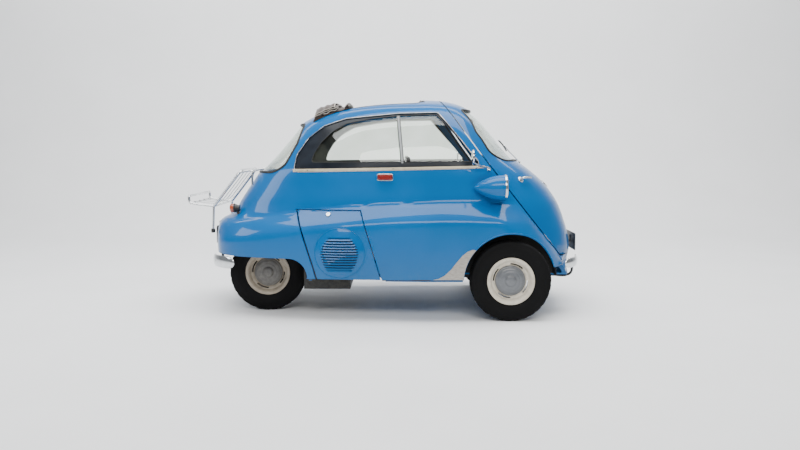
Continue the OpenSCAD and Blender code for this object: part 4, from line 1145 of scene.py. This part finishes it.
def luggage_rack():
    """Chromed tube rack: a hoop up the tail, a tray behind it, legs, braces and slats."""
    r = 9.0  # tube radius
    half = 280 - r
    top, bend = Vector((MID - 916, 890)), Vector((MID - 1093, 662))
    tip = Vector((RACK_X + r + 1.5, 680))
    foot = Vector((tail_x(0, 520) - r - 3, 508))
    rest = Vector((tail_x(half, 800) - r - 3, 800))
    shown = "luggage_rack"

    def flat(points, y):
        return [(p.x, y, p.y) for p in points]
    back = (bend - top).normalized()
    # hoop: up both sides and across the top in one bent tube
    hoop = flat([bend, top + back * 60], -half)
    for t in range(0, 91, 15):
        a = radians(t)
        p = top + back * 45 * (1 - sin(a))
        hoop.append((p.x, -half + 45 * (1 - cos(a)), p.y))
    hoop += [(x, -y, z) for x, y, z in hoop[::-1]]
    finish(rod("rack_hoop", hoop, r), CHROME, "body", shown)
    tray = flat([bend, tip - (tip - bend).normalized() * 40], -half)
    for t in range(0, 91, 15):
        a = radians(t)
        tray.append((tip.x + 22 * (1 - sin(a)), -half, tip.y + 22 * (1 - cos(a))))
    tray += flat([Vector((tip.x, tip.y + 40))], -half)
    tray.append((tip.x, -half + 8, tip.y + 47))
    tray += [(x, -y, z) for x, y, z in tray[::-1]]
    finish(rod("rack_tray_rail", tray, r - 1.5), CHROME, "body", shown)
    for side, where in SIDES:
        y = side * half
        finish(rod("rack_leg_" + where, flat([bend, bend.lerp(foot, 0.5), foot], y), r - 2.5,
                   False, True), CHROME, "body", shown)
        finish(turned("rack_clamp_" + where, [(0, -14), (11, -14), (13, -10), (13, 6), (9, 12),
                                              (0, 13)], (foot.x, y, foot.y), "Z", 28),
               SATIN_BLACK)
        knee = Vector((rest.x, top.y - 6))
        finish(rod("rack_brace_" + where, flat([top + back * 20, top.lerp(knee, 0.6), knee,
                                                knee.lerp(rest, 0.5), rest], y), r - 2.5, False,
                   True), CHROME, "body", shown)
    lift = Vector((back.y, -back.x))
    lift = -lift if lift.y < 0 else lift
    for k in range(4):
        y = (-0.66 + 0.44 * k) * half
        path = [top - back * 2 + lift * 9] + [top.lerp(bend, t / 8) + lift * 7
                                              for t in range(1, 8)]
        path += [bend + Vector((-14, 10))]
        path += [bend.lerp(tip, t / 5) + Vector((0, 9)) for t in range(1, 5)]
        path += [tip + Vector((10, 8))]
        finish(rod(f"rack_slat_{k}", flat(path, y), 1, section=oval(26, 4, 16, 4)), CHROME)
    for name, p in (("rack_cross_low", bend), ("rack_cross_tip", tip + Vector((12, 0)))):
        finish(rod(name, flat([p], -half) + flat([p], 0) + flat([p], half), 6.5), CHROME)


def tail_lamps():
    """Amber lenses on short black stalks."""
    for side, where in SIDES:
        y, z = side * 330, 655
        x = tail_x(y, z - 24) - 4
        lens = [(0, 64), (10, 63.4), (19, 61), (25, 56), (27, 50), (27, 34), (0, 34)]
        finish(turned("tail_lens_" + where, lens, (x, y, z), "-X", 48), AMBER_LENS, "body",
               "tail_lamps")
        stalk = [(0, 0), (19, 0), (19, 12), (24, 20), (25, 28), (28.5, 30), (28.5, 37),
                 (26, 38), (0, 38)]
        finish(turned("tail_stalk_" + where, stalk, (x, y, z), "-X", 48), SATIN_BLACK)
        foot = [(x - 14, y, z - 16), (x - 12, y, z - 30), (x + 4, y, z - 36)]
        finish(rod("tail_foot_" + where, foot, 9, False, True), SATIN_BLACK)


def plates():
    """Blank plates with a raised rim and two bolts each."""
    for end, x, low, f, body in (("front", PLATE_X, 366, 1, "door"),
                                 ("rear", MID - 1104 - 0.2, 415, -1, "body")):
        w, h = 340, 112
        outer = rounded([(-w / 2, 0), (w / 2, 0), (w / 2, h), (-w / 2, h)], 12, 8)
        o = outline_face(end + "_plate_blank", [(x - f * 4, y, low + z) for y, z in outer])
        edit(o, lambda: bpy.ops.mesh.extrude_region_move(
            TRANSFORM_OT_translate={"value": (f * 4 * MM, 0, 0)}),
            lambda: bpy.ops.mesh.inset(thickness=0.005),
            lambda: bpy.ops.mesh.inset(thickness=0.0015),
            lambda: bpy.ops.transform.translate(value=(-f * 1.6 * MM, 0, 0)),
            lambda: bpy.ops.mesh.select_all(action="SELECT"), face_out)
        modify(o, "BEVEL", width=0.0005, segments=2, limit_method="ANGLE")
        finish(o, [PLATE, SATIN_BLACK], body, end + "_plate")
        for face in o.data.polygons:
            if face.normal.x * f < -0.5:
                face.material_index = 1
        for side in (-1, 1):
            b = turned(f"{end}_plate_bolt_{'l' if side > 0 else 'r'}",
                       [(0, 0), (6, 0), (5.4, 1.2), (0, 1.8)],
                       (x - f * 2.2, side * 130, low + h / 2), (f, 0, 0), 20)
            finish(b, DULL_CHROME, body)
    stay = [(nose_x(0, 402) - 2, 402), (PLATE_X - 30, 402), (PLATE_X - 12, 408),
            (PLATE_X - 5, 422), (PLATE_X - 5, 455)]
    finish(rod("front_plate_stay", [(x, 0, z) for x, z in stay], 1, section=oval(48, 5, 16, 5)),
           SATIN_BLACK, "door")
    lamp = [(0, -26), (9, -25), (12, -20), (12, 20), (9, 25), (0, 26)]
    finish(turned("rear_plate_lamp", lamp, (MID - 1108, 0, 539), "Y", 32), CHROME)
    pad = [(tail_x(0, 470), 470), (MID - 1098, 470)]
    finish(rod("rear_plate_stay", [(x, 0, z) for x, z in pad], 12), SATIN_BLACK)


def door_fittings():
    """Handle, blank nose disc and wiper, all on the door."""
    p, n = standing("nose", -452, 838)
    finish(turned("handle_escutcheon", [(0, 0), (19, 0), (19, 3), (16, 6), (9, 8), (8, 14),
                                        (0, 14)], p, n, 40), CHROME, "door", "door_handle")
    turn = n.cross(Vector((0, 0, 1))).normalized()
    grip = [p + n * 8, p + n * 18, p + n * 26 + turn * -6, p + n * 28 + turn * -24,
            p + n * 27 + turn * -48, p + n * 23 + turn * -74]
    finish(rod("handle_lever", grip, 6.5, False, True), CHROME, "door")
    # blank round badge place low on the nose
    finish(turned("blank_nose_disc", [(0, -1), (27, -1), (27, 2), (24, 4.5), (10, 6), (0, 6.4)],
                  *standing("nose", -150, 800), 48), CHROME, "door")
    # wiper: spindle, sprung arm and rubber blade on the glass
    s, sn = standing("nose", 60, 925)
    finish(turned("wiper_spindle", [(0, -1), (15, -1), (15, 3), (11, 8), (9, 18), (6, 22),
                                    (0, 23)], s, sn, 32), CHROME, "door", "wiper")
    blade = [(-250 + 186 * k / 14, 1072 - 66 * k / 14) for k in range(15)]
    middle = Vector(fit("nose", blade[7][0], blade[7][1], -15))
    arm = [s + sn * 17, Vector(fit("nose", 10, 955, -22)), Vector(fit("nose", -80, 1000, -19)),
           middle]
    finish(rod("wiper_arm", arm, 3.2, False, True), CHROME, "door")
    back = [fit("nose", y, z, -11) for y, z in blade]
    finish(rod("wiper_blade", back, 3), SATIN_BLACK, "door")
    lip = [fit("nose", y, z, -4) for y, z in blade]
    finish(rod("wiper_rubber", [tuple((Vector(a) + Vector(b)) / 2) for a, b in zip(back, lip)],
               2.6), RUBBER, "door")


# ------------------------------------------------------------------------------- wheels
def tyre_profile(width):
    """Half section of a ribbed cross-ply tyre, mirrored."""
    half, out = width / 2, 242
    rim, bead_r = 127, 142
    edge = width * 0.17
    wall = [(rim, half * 0.8)]
    for k in range(15):
        u = k / 14
        wall.append((bead_r + (out - edge - bead_r) * u,
                     half * (0.8 + 0.2 * sin(radians(155 * u)))))
    for a in range(66, 0, -11):
        wall.append((out - edge - 2 + edge * cos(radians(a)) + 1.5,
                     half * 0.92 - edge + edge * sin(radians(a))))
    tread, top = [], 241.8
    for g in (0.56, 0.28, 0.0):
        tread += [(top, half * g + 5), (top - 5, half * g + 3.2)]
        if g:
            tread += [(top - 5, half * g - 3.2), (top, half * g - 5)]
    right = wall + tread
    return right + [(r, -z) for r, z in right[::-1]]


def wheel_parts():
    """One tyre and wheel modelled flat, outer face up; copies are turned into place."""
    width = 116
    tyre = turned("tyre_model", tyre_profile(width), steps=120)
    # blocks: alternate cells of the ribs are lowered to make the tread pattern
    for v in tyre.data.vertices:
        r = math.hypot(v.co.x, v.co.y) / MM
        a = math.atan2(v.co.y, v.co.x)
        z = v.co.z / MM
        if r > 240 and abs(z) > 6:
            k = round(a * 120 / (2 * pi))
            if (k + (1 if z > 0 else 0)) % 4 == 0:
                f = 1 - 3.0 / r
                v.co.x *= f
                v.co.y *= f
    half = width / 2
    lip = half * 0.80
    disc_z, cap_r, rim_r = 14, 91, 127
    rim = [(rim_r, -lip), (rim_r, lip - 3), (rim_r + 2, lip), (rim_r + 13, lip + 1),
           (rim_r + 15, lip + 3), (rim_r + 14, lip + 5.5), (rim_r + 8, lip + 6),
           (rim_r - 1, lip + 3.5), (rim_r - 7, lip - 3), (rim_r - 12, disc_z + 22),
           (rim_r - 16, disc_z + 14), (rim_r - 23, disc_z + 12), (cap_r + 6, disc_z + 9),
           (cap_r, disc_z + 2), (cap_r - 10, disc_z), (38, disc_z), (38, -28), (36, -30),
           (17, -30), (17, disc_z - 4), (40, disc_z - 4), (cap_r, disc_z - 4),
           (rim_r - 24, disc_z + 4), (rim_r - 18, -10), (rim_r - 8, -14),
           (rim_r - 8, -lip)]
    wheel = turned("wheel_model", rim, steps=96)
    for k in range(4):
        ring = []
        for r, order in ((cap_r + 6, 1), (cap_r + 15, -1)):
            turns = [90 * k + 45 + 46 * i / 14 for i in range(15)][::order]
            ring += [(x, y, -6) for x, y in arc((0, 0), r, turns)]
        cut(wheel, prism("slot", ring, (0, 0, 60)))
    cap = [(0, disc_z - 1), (cap_r - 2, disc_z - 1), (cap_r, disc_z + 2), (cap_r, disc_z + 5),
           (cap_r - 3, disc_z + 9), (cap_r - 9, disc_z + 12), (cap_r - 11, disc_z + 12),
           (cap_r - 13, disc_z + 14.5), (60, disc_z + 20.5), (58, disc_z + 20),
           (56, disc_z + 21.5), (44, disc_z + 23), (36, disc_z + 23), (33, disc_z + 25),
           (31, disc_z + 30), (26, disc_z + 33.5), (14, disc_z + 34.5), (0, disc_z + 35)]
    hub = turned("cap_model", cap, steps=96)
    return tyre, wheel, hub


def wheels():
    """Four wheels from the one model, and the rear shaft."""
    tyre, wheel, hub = wheel_parts()
    for end, x, track, body in (("front", FRONT_X, 1200, "front_wheel_"),
                                ("rear", REAR_X, 520, "rear_axle")):
        for side, where in SIDES:
            front = end == "front"
            b = body + where if front else body
            for model, name, mat, node in (
                    (tyre, "tyre", TYRE, f"tyre_front_{where}" if front else "rear_tyres"),
                    (wheel, "wheel_disc", CREAM if front else DUSTY_CREAM,
                     f"wheel_front_{where}" if front else "rear_wheels"),
                    (hub, "hub_cap", CAP_GREY if front else DUSTY_GREY, ())):
                o = put(copy_of(model, f"{end}_{name}_{where}"),
                        (x, side * track / 2, WHEEL_Z), "Y" if side > 0 else "-Y")
                finish(o, mat, b, node, angle=40)
    for o in (tyre, wheel, hub):
        bpy.data.objects.remove(o)
    half = 248
    finish(turned("rear_shaft", [(0, -half), (17, -half), (17, -130), (19, -128), (19, -112),
                                 (17, -110), (17, half), (0, half)], (REAR_X, 0, WHEEL_Z), "Y",
                  32), CHASSIS, "rear_axle")


# ------------------------------------------------------------------------------ interior
def stuffed(name, size, place, sim, channels, cap_mm):
    """Sewn cushion: a block swelled by cloth simulation, then pinched along its channels."""
    o = started(name, "cube", size=1)
    o.data.transform(Matrix.Diagonal([c * MM for c in size] + [1]))
    modify(o, "BEVEL", width=0.024, segments=4)
    modify(o, "REMESH", mode="VOXEL", voxel_size=0.006 if sim else 0.012)
    if sim:
        rest = [v.co.copy() for v in o.data.vertices]
        only(o)
        cloth = o.modifiers.new("cloth", "CLOTH")
        cloth.settings.use_pressure = True
        cloth.settings.uniform_pressure_force = 4
        cloth.settings.effector_weights.gravity = 0
        cloth.settings.quality = 5
        scene = bpy.context.scene
        for k in range(1, 21):
            scene.frame_set(k)
        bpy.ops.object.modifier_apply(modifier="cloth")
        scene.frame_set(1)
        for v, r in zip(o.data.vertices, rest):
            step = v.co - r
            if step.length > cap_mm * MM:
                v.co = r + step.normalized() * cap_mm * MM
    modify(o, "SMOOTH", factor=0.5, iterations=4)
    groove_width, groove_depth = 9, 7
    low = [min(v.co[k] for v in o.data.vertices) for k in range(3)]
    high = [max(v.co[k] for v in o.data.vertices) for k in range(3)]
    for v in o.data.vertices:
        for k in range(3):
            v.co[k] = ((v.co[k] - low[k]) / (high[k] - low[k]) - 0.5) * size[k] * MM
        across, up = v.co.y / MM, v.co.z / (size[2] * MM)
        spacing = size[1] / channels
        near = abs((across / spacing + 0.5 * (channels % 2)) % 1 - 0.5) * 2
        seam = math.exp(-((1 - near) * spacing / groove_width) ** 2)
        face = v.co.x / (size[0] * MM) if size[0] < size[2] else up
        if face > 0.2:
            depth = groove_depth * seam * ease((face - 0.2) / 0.2)
            v.co[0 if size[0] < size[2] else 2] -= depth * MM
    if sim:
        modify(o, "SUBSURF", levels=1, render_levels=1)
    o.data.transform(place)
    return o


def seat():
    """Bench cushion and its leaning backrest."""
    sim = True
    x0 = MID - 190
    place = Matrix.Translation(Vector((x0 + 2 + 218, 0, 331 + 60)) * MM)
    lean = Matrix.Translation(Vector((x0 + 82, 0, 456)) * MM) @ \
        Matrix.Rotation(radians(-10), 4, "Y") @ Matrix.Translation(
            Vector((45, 0, 175)) * MM)
    for name, size, at in (("seat_cushion", (434, 974, 118), place),
                           ("seat_backrest", (88, 974, 348), lean)):
        o = stuffed(name, size, at, sim, 12, 12)
        finish(o, SEAT_CLOTH, "body", "seat", angle=0)


def steering_wheel():
    """Ivory rim and hub with three spokes."""
    dirn = Vector((-336, 0, 342)).normalized()
    turn = Matrix.Translation(Vector((MID + 532, 232, 770)) * MM) @ \
        Matrix.Rotation(-math.acos(dirn.z), 4, "Y")
    r = 181
    ring = [(x, y, 0) for x, y in arc((0, 0), r, all_round(96))]
    rim = rod("steering_rim", ring, 9, True)
    # finger grips pressed round the back of the rim
    for v in rim.data.vertices:
        if v.co.z < 0:
            a = math.atan2(v.co.y, v.co.x)
            v.co.z += 0.0012 * (1 + cos(a * 48))
    rim.data.transform(turn)
    finish(rim, IVORY, "steering_wheel", "steering_wheel")
    hub = turned("steering_hub", [(0, -20), (24, -20), (28, -14), (29, 0), (27, 3), (22, 5),
                                  (20, 4), (12, 7), (0, 8)], steps=48)
    hub.data.transform(turn)
    finish(hub, IVORY, "steering_wheel")
    for k, a in enumerate((-90, 0, 90)):
        c, s = cos(radians(a)), sin(radians(a))
        path = [(c * t, s * t, z) for t, z in ((20, -8), (80, -9), (140, -6), (175, -1))]
        o = rod(f"steering_spoke_{k}", path, 1, False, True, section=oval(18, 7, 16, 2.6))
        o.data.transform(turn)
        finish(o, DULL_CHROME, "steering_wheel")


def cabin():
    """Ribbed rubber mat, and the rolled visor at the top of the screen."""
    mat = [(MID + 262, -470), (MID + 262, 470), (MID + 440, 480), (MID + 520, 390),
           (MID + 850, 380), (MID + 850, -380), (MID + 520, -390), (MID + 440, -480)]
    mat = rounded(mat, 14, 4)
    o = prism("floor_mat", [(x, y, SILL + 0.5) for x, y in mat], (0, 0, 5))
    modify(o, "BEVEL", width=0.0015, segments=2, limit_method="ANGLE")
    finish(o, MAT)
    for k in range(16):
        x = MID + 545 + 18 * k
        finish(rod(f"mat_rib_{k}", [(x, -350, SILL + 5.5), (x, 350, SILL + 5.5)], 2.2), MAT)
    visor = [fit("nose", y, 1236, 44) for y in range(-235, 236, 30)]
    finish(rod("rolled_visor", visor, 15), SATIN_BLACK, "door")


# ------------------------------------------------------------------------ folded roof
def folded_roof():
    """The fabric top laid back in flat folds over the rear of its opening."""
    start = MID - 452
    path = []
    # front roll: loose turns round the front bow
    for k in range(26):
        a = radians(200 - 22 * k)
        r = 11.5 - 0.12 * k
        path.append((212 + r * cos(a), 15 + r * sin(a)))
    path = path[::-1]
    path += [(198, 5.5), (186, 4), (172, 4)]
    heights = [5, 17, 29, 40]
    spans = [(160, 10), (14, 146), (142, 18), (22, 132)]
    for k, (h, (a, b)) in enumerate(zip(heights, spans)):
        path += [(a + (b - a) * i / 18, h + 2.6 * sin(i * 0.9 + 2 * k)) for i in range(19)]
        if k < len(spans) - 1:
            c, r = (h + heights[k + 1]) / 2, (heights[k + 1] - h) / 2
            out = -1 if b < a else 1
            path += [(b + out * r * 1.3 * sin(radians(t)), c - r * cos(radians(t)))
                     for t in (25, 50, 75, 105, 130, 155)]
    half, nj = 300, 60

    def place(i, j):
        d, h = path[i]
        y = -half + 2 * half * j / nj
        ruck = 1.4 * sin(y / 37 + d / 60) + 1.0 * sin(y / 17 + h * 0.7)
        x = start + d + 2.2 * sin(y / 61 + h * 0.5)
        return x, y, top_z(x, y) + h + ruck * min(1, h / 12)
    o = grid("folded_roof_cloth", len(path) - 1, nj, place)
    modify(o, "SOLIDIFY", thickness=0.0022, offset=0)
    finish(o, ROOF_CLOTH, "body", "folded_roof", angle=0)
    hems = []
    for side, where in ((0, "right"), (nj, "left")):
        pts = [Vector(place(i, side)) for i in range(len(path))]
        hem = finish(rod("roof_hem_" + where, pts, 2.6, sides=2), ROOF_CLOTH)
        piping = rod("roof_piping_" + where, [p + Vector((0, 2 if side else -2, 2.5))
                                              for p in pts[-62:]], 1.6, sides=2)
        finish(piping, BINDING)
        hems += [hem, piping]
    end = [place(len(path) - 1, j) for j in range(nj + 1)]
    hem = rod("roof_hem_front", end, 2.8, sides=2)
    finish(hem, BINDING)
    hems.append(hem)
    for k, y in enumerate((-292, 292)):
        a, b = start + 168, start + 240
        path2 = [(x, y, top_z(x, y) + 2.5) for x in (a, (a + b) / 2, b)]
        finish(rod(f"roof_cord_{k}", path2, 2), RUBBER)
    p = (MID + 236, -250, top_z(MID + 236, -250) + 2)
    finish(turned("roof_catch", [(0, -2), (13, -2), (13, 2), (9, 5), (4, 9), (0, 10)], p, "Z",
                  28), CHROME)


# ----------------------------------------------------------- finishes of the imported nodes
NODE_FINISH = {
    "floor_pan": PAINT, "rear_deck": TRIM, "front_wheel_arches": CHASSIS,
    "chassis_frame": CHASSIS, "front_axle_beam": CHASSIS, "steering_knuckle_left": CHASSIS,
    "steering_knuckle_right": CHASSIS, "tie_rod": CHASSIS, "engine_block": CASTING,
    "rear_springs": CHASSIS, "exhaust": CASTING, "steering_column": SATIN_BLACK,
    "steering_box": CASTING, "pedals_and_levers": SATIN_BLACK,
    "hinge_body_leaves": PAINT, "hinge_door_leaves": PAINT}


def node_finishes():
    """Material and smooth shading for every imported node."""
    for name, o in nodes.items():
        o.data.materials.clear()
        o.data.materials.append(NODE_FINISH.get(name, CHASSIS))
        weld = o.modifiers.new("weld", "WELD")
        weld.merge_threshold = 0.00002
        split = o.modifiers.new("split", "EDGE_SPLIT")
        split.split_angle = radians(32)
        for f in o.data.polygons:
            f.use_smooth = True


# -------------------------------------------------------------------------------- stage
def stage():
    """Pale floor that curves up into a back wall, and soft overhead light."""
    profile = [(-7, 0), (3.2, 0)] + [(3.2 + 2.6 * sin(radians(a)), 2.6 * (1 - cos(radians(a))))
                                     for a in range(6, 91, 6)] + [(5.8, 9)]
    o = started("studio_floor", "grid", x_subdivisions=1, y_subdivisions=len(profile) - 1,
                size=1)
    for v in o.data.vertices:
        y, z = profile[round((v.co.y + 0.5) * (len(profile) - 1))]
        v.co = (v.co.x * 36, y, z)
    only(o)
    bpy.ops.object.shade_smooth()
    o.data.materials.append(FLOOR)
    world = bpy.data.worlds.new("soft_studio")
    bpy.context.scene.world = world
    world.use_nodes = True
    back = world.node_tree.nodes["Background"]
    back.inputs["Color"].default_value = colour("E6EAEE")
    back.inputs["Strength"].default_value = 0.42
    for name, at, aim, size, power, tint in (
            ("overhead_softbox", (0.3, -0.7, 4.8), (0.1, 0.2, 0.6), (6.5, 2.6), 420,
             "FFFFFF"),
            ("front_softbox", (0.6, -6.2, 4.4), (0.1, 0, 0.5), (6.0, 1.8), 330, "FFFDF8"),
            ("wall_softbox", (0.0, 2.6, 5.4), (0, 5.2, 1.2), (12.0, 1.6), 420, "FFFFFF"),
            ("tail_softbox", (-5.5, -1.5, 3.4), (-0.6, 0, 0.6), (2.0, 1.8), 90,
             "F4F8FF")):
        data = bpy.data.lights.new(name, "AREA")
        data.shape, data.size, data.size_y = "RECTANGLE", *size
        data.energy, data.color = power, colour(tint)[:3]
        light = bpy.data.objects.new(name, data)
        light.location = at
        light.rotation_euler = (Vector(aim) - Vector(at)).to_track_quat("-Z", "Y").to_euler()
        bpy.context.scene.collection.objects.link(light)


for make in (body_shell, door_shell, seam_trim, arch_trim, roof_edge, side_windows,
             end_windows, engine_hatch, headlamps, side_lamps, mirrors, bumpers,
             luggage_rack, tail_lamps, plates, door_fittings, wheels, seat, steering_wheel,
             cabin, folded_roof, node_finishes, stage):
    make()
